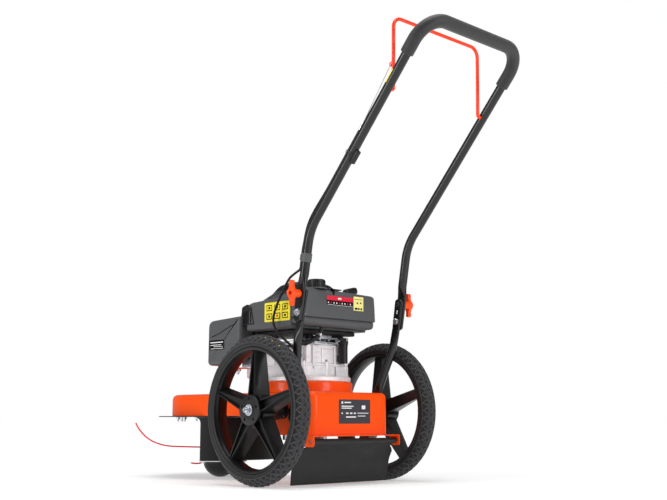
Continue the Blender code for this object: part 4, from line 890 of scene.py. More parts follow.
def deck():
    """Deep-drawn steel deck: rounded top edge, open underneath."""
    bm = bmesh.new()
    outline = deck_outline()
    rings = []
    for skin, top in ((SHEET, DECK_TOP - SHEET), (0.0, DECK_TOP)):
        radius = DECK_ROUND - skin
        levels = [(top - radius * (1 - sin(pi / 2 * i / 6)), radius * (1 - cos(pi / 2 * i / 6)))
                  for i in range(7)]
        shell = [[Vector((p.x, p.y, z)) for p in inset(outline, skin + depth)] for z, depth in levels]
        foot = [Vector((p.x, p.y, lower_edge(o.y))) for p, o in zip(inset(outline, skin + 1e-5), outline)]
        rings += reversed([foot, *shell]) if skin else [foot, *shell]
    loft(bm, rings)
    piece("deck_pressing", bm, "deck_paint", "deck", angle=40)
    bm = bmesh.new()
    for x in (-0.098, 0.098):
        for z in (0.204, 0.129):
            lathe(bm, [(0.0, -0.0006), (0.003, -0.0006), (0.0026, 0.0003), (0.0018, 0.0005), (0.001, 0.0001),
                       (0.0, 0.0)], at((x, DECK_REAR, z)) @ rotated(-pi / 2, "X"), 20)
    piece("deck_spot_welds", bm, "deck_paint", angle=60)


def engine_seat():
    """Raised round pressing that carries the engine, with the bolts of the engine's flange."""
    low, high = from_axle("engine_seat")
    radius = (high.x - low.x) / 2 - 0.004
    foot, top = low.z, high.z
    bm = bmesh.new()
    edge = 0.005
    profile = [(0.055, foot + 0.001), (radius, foot), (radius + 0.004, foot),
               (radius + 0.0022, foot + 0.0006), (radius + 0.0008, foot + 0.003), (radius, foot + 0.007)]
    profile += [(radius - edge * (1 - cos(pi / 2 * i / 5)), top - edge * (1 - sin(pi / 2 * i / 5)))
                for i in range(6)]
    profile += [(0.055, top)]
    lathe(bm, profile, at((0, ENGINE_Y, 0)), 96)
    piece("engine_seat_pressing", bm, "deck_paint", "engine_seat", angle=40)
    bm = bmesh.new()
    for angle in (32, 148, 212, 328):
        hex_head(bm, at(polar(0.1145, radians(angle), top, ENGINE_Y)), 0.009, 0.0045)
    piece("engine_seat_bolts", bm, "deck_paint", angle=30, bevel=0.0003)


def rear_bracket():
    """Strip under the deck's rear edge with two ears that hold the flap's rod."""
    low, high = from_axle("rear_bracket")
    bm = bmesh.new()
    slab(bm, (low.x, low.y, high.z - 0.002), (high.x, high.y, high.z), 0.0006, corner=0.003)
    for side in (1, -1):
        edge = side * high.x
        x0, x1 = sorted((edge, edge - side * 0.002))
        ear = rounded([(low.y, low.z, 0.004), (high.y, low.z, 0.006), (high.y, high.z - 0.001, 0.0),
                       (low.y, high.z - 0.001, 0.0)], 4)
        turn = Matrix(((0, 0, 1, 0), (1, 0, 0, 0), (0, 1, 0, 0), (0, 0, 0, 1)))
        pressed(bm, ear, rounded_levels(x0, x1, 0.0004, 0.0004, 2), turn)
    piece("flap_bracket", bm, "deck_paint", "rear_bracket")
    rod_low, rod_high = from_axle("flap_rod")
    centre = (rod_low + rod_high) / 2
    bm = bmesh.new()
    end = rod_high.x
    profile = rounded_rod((rod_high.z - rod_low.z) / 2, -end, end, 0.0006)
    lathe(bm, profile, at((0, centre.y, centre.z)) @ rotated(pi / 2, "Y"), 24)
    piece("flap_hinge_rod", bm, "steel", "flap_rod")


def flap():
    """Rubber sheet rolled round its rod, hanging in a slight belly, with a stiffening fold near its foot."""
    rod = centre_of("flap_rod")
    thick = 0.003
    side = [Vector((rod.y - 0.005, rod.z)), Vector((0.095, 0.094)), Vector((0.084, 0.084)),
            Vector((0.075, 0.072)), Vector((0.0675, 0.055)), Vector((0.0625, 0.03)), Vector((0.06, 0.004))]
    line = [Vector((p.x, p.y)) for p in smooth_route([(p.x, p.y, 0) for p in side], 0.004)]
    narrow, wide = 0.143, from_axle("rear_flap")[1].x
    columns = 48
    bm = bmesh.new()
    rings = []
    for i, here in enumerate(line):
        ahead = (line[min(i + 1, len(line) - 1)] - line[max(i - 1, 0)]).normalized()
        normal = Vector((-ahead.y, ahead.x))
        share = max(0.0, min(1.0, (0.09 - here.y) / 0.012))
        half = narrow + (wide - narrow) * share ** 0.5
        ring = []
        for face in (1, -1):
            for k in range(columns + 1):
                u = (-1 + 2 * k / columns) * face
                wave = 0.0007 * sin(u * 7 + here.y * 40) * share
                fold = 0.0007 if 0.01 < here.y < 0.016 else 0.0
                out = here + normal * (face * (thick / 2 + fold * (abs(u) < 0.97)) + wave)
                ring.append(Vector((u * half, out.x, out.y)))
        rings.append(ring)
    loft(bm, rings)
    lathe(bm, ring_profile(0.0065, 0.0033, -narrow, narrow, 0.0005),
          at((0, rod.y, rod.z)) @ rotated(pi / 2, "Y"), 24)
    piece("rear_rubber_flap", bm, "black_rubber", "rear_flap", body="flap", angle=40)


# -------- trimmer end

GUARD_LOW, GUARD_HIGH = from_axle("guard_plate")
GUARD_R = (GUARD_HIGH.x - GUARD_LOW.x) / 2
SKIRT_R = 0.165
SKIRT_T = 0.003
SKIRT_FROM = radians(33)
SKIRT_TO = radians(122)
SKIRT_FLARE = 0.016
CUTTER_SPAN = radians(44)
CUTTER_W = 0.018
SPOOL_RIBS = 40
HEAD_AXIS = at((0, HEAD_Y, 0))


def guard_plate():
    """Round plate under the deck with a rolled rim, and the bolts that hold it and the housing."""
    foot, top = GUARD_LOW.z, GUARD_HIGH.z
    bm = bmesh.new()
    profile = [(0.0243, top), (0.0243, foot), (GUARD_R - 0.006, foot), (GUARD_R - 0.003, foot + 0.0001),
               (GUARD_R - 0.0004, foot + 0.0006), (GUARD_R, foot + 0.0013), (GUARD_R - 0.0004, top - 0.0004),
               (GUARD_R - 0.0012, top)]
    lathe(bm, profile, HEAD_AXIS, 128)
    piece("guard_disc", bm, "black_steel", "guard_plate", angle=40)
    bm = bmesh.new()
    for angle, radius in ((-12, 0.118), (-40, 0.118), (12, 0.15), (192, 0.118), (228, 0.118), (268, 0.118)):
        place = at(polar(radius, radians(angle), foot - 0.0002, HEAD_Y)) @ rotated(pi, "X")
        lathe(bm, ring_profile(0.0075, 0.0028, 0.0, 0.001, 0.0002), place, 24)
        hex_head(bm, place @ at((0, 0, 0.001)), 0.0098, 0.005)
        lathe(bm, rounded_rod(0.0029, 0.0, 0.012, 0.0006), place, 16)
    piece("guard_bolts", bm, "zinc", angle=30)


def skirt():
    """Curved debris skirt whose top flares out under the guard disc."""
    foot = from_axle("debris_skirt")[0].z
    head = GUARD_LOW.z - GAP
    columns = 56
    rings = []
    for j in range(19):
        z = head + (foot - head) * (j / 18) ** 1.6
        drop = min(1.0, (head - z) / SKIRT_FLARE)
        flare = SKIRT_FLARE * (1 - sqrt(1 - (1 - drop) ** 2))
        start = SKIRT_FROM - flare / SKIRT_R
        ring = []
        for radius, turn in ((SKIRT_R, 1), (SKIRT_R - SKIRT_T, -1)):
            steps = range(columns + 1) if turn > 0 else range(columns, -1, -1)
            ring += [polar(radius, a, z, HEAD_Y)
                     for a in (start + (SKIRT_TO - start) * k / columns for k in steps)]
        rings.append(ring)
    bm = bmesh.new()
    loft(bm, rings)
    piece("debris_skirt_shell", bm, "black_steel", "debris_skirt", angle=40)


def cutter():
    """Bright knife under the skirt's leading end, ground along its inner edge, with its two screws."""
    low, high = from_axle("line_cutter")
    start, end = SKIRT_FROM - radians(1), SKIRT_FROM + CUTTER_SPAN
    outline = [polar(SKIRT_R, start + (end - start) * k / 24, 0, HEAD_Y) for k in range(25)]
    outline += [polar(SKIRT_R - CUTTER_W, end + (start - end) * k / 24, 0, HEAD_Y) for k in range(25)]
    bm = bmesh.new()
    pressed(bm, outline, [(low.z - 0.0014, 0.0001), (low.z - 0.0011, 0.0), (high.z - 0.0009, 0.0),
                          (high.z, 0.0014)])
    for a in (start + radians(3.5), end - radians(6)):
        hex_head(bm, at(polar(SKIRT_R - 0.008, a, low.z - 0.0012, HEAD_Y)) @ rotated(pi, "X"), 0.0095, 0.0042)
    piece("line_cutter_knife", bm, "zinc", "line_cutter", angle=30)


def spindle():
    """Cast bearing housing with its flange, and the shaft that turns in it."""
    low, high = from_axle("spindle_housing")
    seat = GUARD_HIGH.z + 0.0006
    bm = bmesh.new()
    profile = [(0.0098, low.z), (0.019, low.z), (0.021, low.z + 0.002), (0.024, low.z + 0.014),
               (0.024, seat), (0.0445, seat), (0.045, seat + 0.0006), (0.0445, seat + 0.004),
               (0.026, seat + 0.0046), (0.024, seat + 0.006), (0.0236, high.z - 0.001), (0.0225, high.z),
               (0.0098, high.z)]
    lathe(bm, profile, HEAD_AXIS, 64)
    piece("spindle_bearing_housing", bm, "cast_aluminium", "spindle_housing")
    bm = turned(rounded_rod(0.009, from_axle("trimmer_spindle")[0].z, from_axle("trimmer_spindle")[1].z,
                            0.0008), HEAD_AXIS, 32)
    piece("spindle_shaft", bm, "steel", "trimmer_spindle", body="trimmer_head", angle=40)


def trimmer_head():
    """Line spool with grip ribs round it and a zinc eyelet at each exit."""
    low, high = from_axle("trimmer_head")
    bm = bmesh.new()
    profile = [(0.0, low.z), (HEAD_R - 0.005, low.z), (HEAD_R - 0.0015, low.z + 0.0035),
               (HEAD_R - 0.001, low.z + 0.006), (HEAD_R - 0.001, LINE_Z - 0.004),
               (HEAD_R - 0.0022, LINE_Z - 0.0036), (HEAD_R - 0.0022, LINE_Z + 0.0036),
               (HEAD_R - 0.001, LINE_Z + 0.004), (HEAD_R - 0.001, high.z - 0.0105),
               (HEAD_R - 0.003, high.z - 0.008), (0.031, high.z - 0.001), (0.029, high.z), (0.0, high.z)]
    lathe(bm, profile, HEAD_AXIS, 96)
    piece("line_spool", bm, "black_plastic", "trimmer_head", body="trimmer_head")
    bm = bmesh.new()
    slab(bm, (HEAD_R - 0.0016, -0.0011, low.z + 0.006), (HEAD_R, 0.0011, LINE_Z - 0.0045), 0.0005)
    repeated("line_spool_ribs", bm, "black_plastic", SPOOL_RIBS, "trimmer_head",
             turn=2 * pi / SPOOL_RIBS, matrix=HEAD_AXIS)
    bm = bmesh.new()
    for angle in (-44, 46):
        place = HEAD_AXIS @ rotated(radians(angle), "Z") @ at((HEAD_R - 0.004, 0, LINE_Z))
        lathe(bm, ring_profile(0.0044, 0.0023, 0.0, 0.004, 0.0008), place @ rotated(pi / 2, "Y"), 24)
    piece("line_eyelets", bm, "zinc", body="trimmer_head")


def glide_cup():
    """Smooth dome that the machine rests and slides on, with a worn ring at its foot."""
    low, high = from_axle("glide_cup")
    radius = (high.x - low.x) / 2
    steps = 18
    dome = [(radius * sin(pi / 2 * i / steps), low.z + radius * (1 - cos(pi / 2 * i / steps)) * 0.98)
            for i in range(steps + 1)]
    profile = [*dome, (radius, high.z - 0.004), (radius - 0.002, high.z - 0.0012), (radius - 0.006, high.z),
               (0.0, high.z)]
    bm = bmesh.new()
    lathe(bm, profile, HEAD_AXIS, 96)
    wear_and_highlight = high.z - 0.0085
    lathe(bm, [(radius - 0.001, wear_and_highlight - 0.0012), (radius + 0.0004, wear_and_highlight - 0.0006),
               (radius + 0.0004, wear_and_highlight + 0.0006), (radius - 0.001, wear_and_highlight + 0.0012)], HEAD_AXIS, 96)
    piece("glide_dome", bm, "black_plastic", "glide_cup", body="glide")


# -------- handle

X_AXIS = Vector((1, 0, 0))
TUBE_R = 0.011
TUBE_X = from_axle("handle_tube")[1].x - TUBE_R
PIVOT = Vector((centre_of("left_pivot_bolt").y, centre_of("left_pivot_bolt").z))
LOCK = Vector((centre_of("left_lock_bolt").y, centre_of("left_lock_bolt").z))
UP_LOW = (LOCK - PIVOT).normalized()
LOCK_REACH = (LOCK - PIVOT).length
BEND = PIVOT + UP_LOW * 0.19557
BAR = Vector((0.507, 1.0245))
UP_HIGH = (BAR - BEND).normalized()
BEND_R = 0.12
CORNER_R = 0.062
FLAT = (0.004, 0.0135, 0.5)
ROUND = (TUBE_R, TUBE_R, 1.0)
END_REACH = 0.008
GRIP_R = 0.0155
GRIP_REACH = 0.095
FOOT = Vector((0.0523, 0.2222))
FOOT_X = 0.1405
BAIL_R = 0.0042
BAIL_X = 0.152
HOOK_SHARE = 0.36
BAIL_TOP = BAR + Vector((-0.118, 0.0343))
BAIL_PIVOT = BEND.lerp(BAR, 0.67685)
CABLE_R = 0.0029
RIB_PITCH = 0.0021
CLIP_UP = 0.13
CLIP_WALL = 0.0016
CLIP_TAIL = 0.018


def side_point(flat, x=0.0):
    """A point from its (y, z) in side view and its x."""
    return Vector((x, flat.x, flat.y))


def section(centre, across, along, shape, sides):
    """A round, oval or flattened tube section; power 1 is an ellipse and less is squarer."""
    half_a, half_b, power = shape
    points = []
    for i in range(sides):
        c, s = cos(2 * pi * i / sides), sin(2 * pi * i / sides)
        a = half_a * (1 if c > 0 else -1) * abs(c) ** power
        b = half_b * (1 if s > 0 else -1) * abs(s) ** power
        points.append(centre + across * a + along * b)
    return points


def mixed(a, b, share):
    """A shape part of the way between two section shapes."""
    return tuple(x * (1 - share) + y * share for x, y in zip(a, b))


def change(start, end, shape_a, shape_b, direction, steps=10):
    """Stations along a straight run where the section changes smoothly from one shape to the other."""
    stations = []
    for i in range(steps + 1):
        t = i / steps
        eased = t * t * (3 - 2 * t)
        stations.append((start.lerp(end, t), direction, mixed(shape_a, shape_b, eased)))
    return stations


def rounded_end(place, direction):
    """Stations that round off a flattened tube's end."""
    stations = []
    for i in range(5):
        a = pi / 2 * i / 4
        shape = (FLAT[0], max(0.003, FLAT[1] * sin(max(a, 0.22))), FLAT[2])
        stations.append((place + direction * END_REACH * (1 - cos(a)), direction, shape))
    return stations


def tube_stations():
    """The left half of the handle, from its lower end to the middle of the cross bar."""
    low, high = side_point(UP_LOW), side_point(UP_HIGH)
    pivot = side_point(PIVOT, TUBE_X)
    out = X_AXIS * (FLAT[0] + GAP)
    stations = rounded_end(pivot - low * 0.022 + out, low)
    stations += change(pivot + low * (LOCK_REACH + 0.018) + out, pivot + low * (LOCK_REACH + 0.045), FLAT,
                       ROUND, low)
    bend = side_point(BEND, TUBE_X)
    for i, point in enumerate(fillet(bend - low, bend, bend + high, BEND_R, 8)):
        stations.append((point, low.lerp(high, i / 8).normalized(), ROUND))
    stations += grip_stations(0.004)
    return stations


def grip_stations(more=0.0):
    """The covered stretch: up the last of the side tube, round the corner, to the middle of the bar."""
    high = side_point(UP_HIGH)
    corner = side_point(BAR, TUBE_X)
    stations = [(corner - high * (GRIP_REACH + more), high, ROUND)]
    for i, point in enumerate(fillet(corner - high, corner, corner - X_AXIS, CORNER_R, 16)):
        angle = pi / 2 * i / 16
        stations.append((point, high * cos(angle) - X_AXIS * sin(angle), ROUND))
    stations += [(side_point(BAR, x), -X_AXIS, ROUND) for x in (0.08, 0.04, 0.0)]
    return stations


def rings_of(stations, sides=28):
    """Section rings; the side-view normal stays the same round the corner."""
    corner_normal = side_point(UP_HIGH).cross(X_AXIS).normalized()
    rings = []
    for centre, direction, shape in stations:
        normal = corner_normal if abs(direction.x) > 0.01 else direction.cross(X_AXIS).normalized()
        across = normal.cross(direction).normalized()
        rings.append(section(centre, across, normal, shape, sides))
    return rings


def whole_handle(bm, rings):
    """Skins a left half that ends at x = 0 together with its mirror image."""
    other = [[Vector((-p.x, p.y, p.z)) for p in ring] for ring in reversed(rings[:-1])]
    return loft(bm, rings + other)


def handle():
    bm = bmesh.new()
    whole_handle(bm, rings_of(tube_stations()))
    piece("u_handle", bm, "tube_paint", "handle_tube", body="handle", angle=40)
    bm = bmesh.new()
    stations = grip_stations()
    first = stations[0]
    up = side_point(UP_HIGH)
    rings = []
    for radius, shift in ((TUBE_R + 0.0004, 0.0), (GRIP_R - 0.0022, 0.0), (GRIP_R - 0.0006, 0.0007),
                          (GRIP_R, 0.0024)):
        rings += rings_of([(first[0] + up * shift, first[1], (radius, radius, 1.0))], 40)
    rings += rings_of([(c, d, (GRIP_R, GRIP_R, 1.0)) for c, d, _ in stations[1:]], 40)
    whole_handle(bm, rings)
    sleeve = piece("foam_hand_grip", bm, "grip_foam", "foam_grip", body="handle", angle=50)


def bracket_stations():
    """The left bracket from its top down to its foot on the deck's side wall."""
    low = side_point(UP_LOW)
    pivot = side_point(PIVOT, TUBE_X)
    inward = -X_AXIS * (FLAT[0] + GAP)
    foot_x = DECK_HALF + GAP + FLAT[0]
    knee = side_point(FOOT, FOOT_X)
    foot_end = Vector((foot_x, FOOT.x - 0.017, REAR_BOTTOM + 0.03))
    foot_top = Vector((foot_x + GAP, FOOT.x - 0.005, DECK_TOP - 0.02))
    shoulder = pivot - low * 0.06 + inward
    leg = (shoulder - knee).normalized()
    down = (foot_top - foot_end).normalized()
    squashed = (FOOT_X - DECK_HALF - GAP, FLAT[1] * 0.92, 0.7)
    stations = rounded_end(foot_end, down)
    stations += change(foot_top, knee, FLAT, squashed, (leg + down).normalized(), 4)
    stations += change(knee + leg * 0.006, knee + leg * 0.03, squashed, ROUND, leg, 6)
    stations += change(shoulder - leg * 0.01, pivot - low * 0.026 + inward, ROUND, FLAT,
                       (leg + low).normalized())
    top = rounded_end(pivot + low * (LOCK_REACH + 0.014) + inward, -low)
    return stations + [(c, low, s) for c, _, s in reversed(top)]


def brackets():
    for side, word in ((1, "left"), (-1, "right")):
        mirror = Matrix.Diagonal((side, 1, 1, 1))
        bm = bmesh.new()
        loft(bm, [[mirror @ p for p in ring] for ring in rings_of(bracket_stations())])
        piece(f"{word}_bracket_tube", bm, "tube_paint", f"{word}_handle_bracket", angle=40)
        inner = TUBE_X - 2 * FLAT[0] - GAP
        # Painted light: a white sheet in the bracket's slot stands for the bright backdrop seen through the
        # hole.
        bm = bmesh.new()
        slot = PIVOT + UP_LOW * 0.024
        tilt = rotated(-(pi / 2 - atan2(UP_LOW.y, UP_LOW.x)), "X")
        place = at(side_point(slot, side * (inner - 0.0001))) @ tilt
        slab(bm, (-0.0004, -0.0017, -0.0045), (0.0004, 0.0017, 0.0045), 0.0002, place)
        piece(f"{word}_bracket_slot", bm, "white", angle=30, slot="tube_paint")
        foot = Vector((side * (DECK_HALF + 2 * FLAT[0] + GAP), FOOT.x - 0.012, DECK_TOP - 0.045))
        bm = bmesh.new()
        for up in (Vector(), Vector((0, 0.003, 0.022))):
            hex_head(bm, across_bolt(side, foot + up), 0.0125, 0.0055)
        piece(f"{word}_bracket_foot_bolts", bm, "black_plastic", angle=30, bevel=0.0003, slot="tube_paint")
        bolts(side, word)
        knob(side, word)


def bolts(side, word):
    """Pivot bolt with its nut inside, and the lock bolt whose domed head sits inside."""
    low, high = from_axle(f"{word}_pivot_bolt")
    far, near = (high.x, low.x) if side > 0 else (low.x, high.x)
    bm = bmesh.new()
    out = across_bolt(side, side_point(PIVOT, far - side * 0.005))
    into = across_bolt(-side, side_point(PIVOT, near + side * 0.005))
    for end in (out, into):
        lathe(bm, ring_profile(0.0085, 0.0041, -0.0004, 0.0008, 0.0002), end, 32)
        hex_head(bm, end @ at((0, 0, 0.0006)), 0.013, 0.0044)
    lathe(bm, rounded_rod(0.004, -0.018, 0.0049, 0.0008), into, 24)
    piece(f"{word}_pivot_bolt_and_nut", bm, "zinc", f"{word}_pivot_bolt", angle=25, bevel=0.0003)
    low, high = from_axle(f"{word}_lock_bolt")
    far, near = (high.x, low.x) if side > 0 else (low.x, high.x)
    bm = bmesh.new()
    place = across_bolt(-side, side_point(LOCK, near + side * 0.0035))
    dome = [(0.0, 0.0), (0.007, 0.0), (0.007, 0.0006), (0.0058, 0.0022), (0.0038, 0.0032), (0.0, 0.0035)]
    lathe(bm, dome, place, 32)
    reach = abs(far - near) - 0.0035
    shank = rotated(pi, "X")
    lathe(bm, rounded_rod(0.003, 0.0, reach, 0.0006), place @ shank, 24)
    piece(f"{word}_lock_bolt_shank", bm, "black_steel", f"{word}_lock_bolt", body="handle")


def knob(side, word):
    """Wing knob moulded in orange: lobed bar, cone towards the tube and a recess at its middle."""
    low, high = from_axle(f"{word}_knob")
    centre = side_point(LOCK, low.x if side > 0 else high.x)
    depth = high.x - low.x
    place = at(centre) @ wheel_turn(side)
    half = (high.z - low.z) / 2
    wing = [(half, 0.0056, 0.0042), (half - 0.0125, 0.0046, 0.006), (0.0085, 0.0079, 0.006)]
    wing += [(-x, y, r) for x, y, r in reversed(wing)]
    wing = rounded(wing + [(x, -y, r) for x, y, r in reversed(wing)], 4)
    bm = bmesh.new()
    pressed(bm, wing, rounded_levels(depth - 0.0125, depth - 0.0008, 0.0022, 0.0026, 4))
    cone = [(0.0, 0.0004), (0.009, 0.0004), (0.0094, 0.0012), (0.0094, 0.008), (0.0102, 0.014),
            (0.0116, depth - 0.01), (0.0108, depth - 0.0076), (0.0, depth - 0.0076)]
    lip = [(0.0052, depth - 0.009), (0.0108, depth - 0.009), (0.012, depth - 0.007), (0.012, depth - 0.0016),
           (0.0105, depth), (0.0066, depth), (0.0052, depth - 0.0012)]
    well = bmesh.new()
    lathe(well, [(0.0, depth - 0.013), (0.0056, depth - 0.013), (0.0056, depth + 0.001),
                 (0.0, depth + 0.001)], steps=32)
    bm = carved(bm, well)
    lathe(bm, cone, steps=40)
    lathe(bm, lip, steps=40)
    bm.transform(place)
    piece(f"{word}_wing_knob", bm, "orange_plastic", f"{word}_knob", body=f"{word}_knob", angle=45)


def bail():
    """Bent wire with a hook welded to its left leg for the brake's inner wire."""
    end = side_point(BAIL_PIVOT, TUBE_X - TUBE_R + 0.0015)
    elbow = side_point(BAIL_PIVOT, BAIL_X)
    top = side_point(BAIL_TOP, BAIL_X)
    half = [end, *fillet(end, elbow, top, 0.006, 6), *fillet(elbow, top, top - X_AXIS, 0.024, 12)]
    other = [Vector((-p.x, p.y, p.z)) for p in reversed(half)]
    bm = bmesh.new()
    tube(bm, half + other, BAIL_R, 20, up=Vector((0, 1, 0.2)))
    hook = side_point(BAIL_PIVOT.lerp(BAIL_TOP, HOOK_SHARE), BAIL_X)
    slab(bm, hook + Vector((-0.001, -0.012, -0.005)), hook + Vector((0.001, -0.0015, 0.005)), 0.0006)
    piece("brake_bail", bm, "bail_paint", "bail_lever", body="bail", angle=45)


def front_of_tube(distance, above_bend, x, lift):
    """A point beside the left tube, lift away from its middle line on the front side."""
    start, direction = (BEND, UP_HIGH) if above_bend else (PIVOT, UP_LOW)
    along = start + direction * distance
    return Vector((x, along.x - direction.y * lift, along.y + direction.x * lift))


def conduit(name, route, radius):
    """A plain core with wound ribs along it; both become one mesh."""
    rib = bmesh.new()
    lathe(rib, [(radius * 0.9, -RIB_PITCH * 0.44), (radius, -RIB_PITCH * 0.3), (radius, RIB_PITCH * 0.3),
                (radius * 0.9, RIB_PITCH * 0.44)], steps=14)
    bmesh.ops.recalc_face_normals(rib, faces=rib.faces)
    unit = bpy.data.objects.new("rib", mesh_from("rib", rib))
    line = bmesh.new()
    verts = [line.verts.new(p) for p in route]
    for a, b in zip(verts, verts[1:]):
        line.edges.new((a, b))
    obj = shown(name, mesh_from(name, line))
    grown(obj, along_tree("cable_sheath", unit), {"Spacing": RIB_PITCH})
    bpy.data.objects.remove(unit)
    core = bmesh.new()
    tube(core, [p + FROM_AXLE for p in route], radius * 0.94, 14)
    bmesh.ops.recalc_face_normals(core, faces=core.faces)
    both = bmesh.new()
    both.from_mesh(obj.data)
    both.from_mesh(mesh_from("core", core))
    ink(both.faces, 0)
    both.to_mesh(obj.data)
    both.free()
    obj.data.materials.clear()
    obj.data.materials.append(MAT["cable_sheath"])
    smooth(obj.data, 50)
    return obj


def cable_fittings():
    """Clip band, brake conduit up the left tube, and its inner wire on to the bail."""
    lift = TUBE_R + CABLE_R + GAP
    x = TUBE_X
    above = lift + CLIP_WALL + GAP
    tilt = rotated(-(pi / 2 - atan2(UP_LOW.y, UP_LOW.x)), "X")
    centre = side_point(PIVOT + UP_LOW * CLIP_UP, TUBE_X)
    bm = bmesh.new()
    lathe(bm, ring_profile(TUBE_R + GAP + CLIP_WALL, TUBE_R + GAP, -0.0105, 0.0105, 0.0006),
          at(centre) @ tilt, 40)
    keeper = at(front_of_tube(CLIP_UP, False, x, above)) @ tilt
    lathe(bm, ring_profile(CABLE_R + 0.0017, CABLE_R + 0.0001, -0.007, 0.007, 0.0004), keeper, 24)
    piece("cable_clip_band", bm, "engine_plastic", "cable_clip", body="handle")
    route = [front_of_tube(CLIP_UP - CLIP_TAIL, False, x, above), front_of_tube(CLIP_UP, False, x, above),
             front_of_tube(CLIP_UP + 0.03, False, x, lift + 0.001),
             front_of_tube(0.02, True, x, lift + 0.002), front_of_tube(0.12, True, x, lift),
             front_of_tube(0.28, True, x, lift)]
    fit(conduit("brake_conduit", smooth_route(route, 0.008), CABLE_R), "handle",
        ["brake_cable_upper"])
    end = route[-1]
    hook = side_point(BAIL_PIVOT.lerp(BAIL_TOP, HOOK_SHARE), BAIL_X + 0.002)
    hook.y -= BAIL_R + 0.0015
    bm = bmesh.new()
    way = (hook - end).normalized()
    ferrule = way.to_track_quat("Z", "Y").to_matrix().to_4x4()
    lathe(bm, ring_profile(CABLE_R + 0.0008, 0.0009, -0.012, 0.004, 0.0004), at(end) @ ferrule, 20)
    piece("conduit_ferrule", bm, "zinc", body="handle")
    bm = bmesh.new()
    line = [end.lerp(hook, i / 12) for i in range(13)]
    curl = [hook + Vector((0, 0.003 * sin(a), 0.003 * (1 - cos(a))))
            for a in (pi * i / 8 for i in range(1, 9))]
    tube(bm, line + curl, 0.001, 10)
    wire = piece("brake_inner_wire", bm, "zinc", body=None)
    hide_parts("brake_wire")
    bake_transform(wire)


def lower_cable():
    """Brake conduit from the clip down to the engine, with the slack that folding needs."""
    above = TUBE_R + CABLE_R + CLIP_WALL + 2 * GAP
    start = front_of_tube(CLIP_UP - CLIP_TAIL - GAP, False, TUBE_X, above)
    under = front_of_tube(CLIP_UP - CLIP_TAIL - 0.01, False, TUBE_X, above)
    points = [start, under, (0.165, 0.072, 0.5), (0.158, 0.048, 0.493), (0.155, 0.03, 0.478),
              (0.151, -0.004, 0.437), (0.147, -0.024, 0.404), (0.143, -0.024, 0.38), (0.137, -0.009, 0.358),
              (0.125, 0.012, 0.337), (0.108, 0.014, 0.32), (0.086, 0.0, 0.312)]
    route = smooth_route(points, 0.012)
    obj = conduit("brake_conduit_slack", smooth_route(route, 0.006), CABLE_R)
    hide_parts("brake_cable_lower")
    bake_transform(obj)


# -------- engine

CASE_HALF = 0.082
LOUVRES = 54
CAP_RIBS = 30
HIP = 0.43              # height above which the tank's right end falls away
ENGINE = at((0, ENGINE_Y, 0))
REAR_FACE = Matrix(((-1, 0, 0, 0), (0, 0, 1, 0), (0, 1, 0, 0), (0, 0, 0, 1)))
LEFT_FACE = Matrix(((0, 0, 1, 0), (1, 0, 0, 0), (0, 1, 0, 0), (0, 0, 0, 1)))


def on_rear(y):
    """Local x runs to the right, local y up and local z out of a rear face at that y."""
    return at((0, y, 0)) @ REAR_FACE


def on_left(x):
    """Local x runs to the rear, local y up and local z out of a left face at that x."""
    return at((x, 0, 0)) @ LEFT_FACE


def sticker(name, low, high, place, finishes, marks, slot="engine_plastic", corner=0.002):
    """A thin film with raised plain marks; marks are (x0, y0, x1, y1, finish) in shares of the film."""
    bm = bmesh.new()
    slab(bm, (*low, -0.0002), (*high, 0.0003), 0.0, place, corner)
    for x0, y0, x1, y1, number in marks:
        a = (low[0] + (high[0] - low[0]) * x0, low[1] + (high[1] - low[1]) * y0, 0.0002)
        b = (low[0] + (high[0] - low[0]) * x1, low[1] + (high[1] - low[1]) * y1, 0.00042)
        ink(slab(bm, a, b, 0.0, place, min(b[0] - a[0], b[1] - a[1]) * 0.2, 2), number)
    piece(name, bm, finishes, angle=30, slot=slot)


def row_of(count, x0, x1, y0, y1, number, fill=0.7):
    """Equal marks side by side."""
    step = (x1 - x0) / count
    return [(x0 + step * i, y0, x0 + step * (i + fill), y1, number) for i in range(count)]


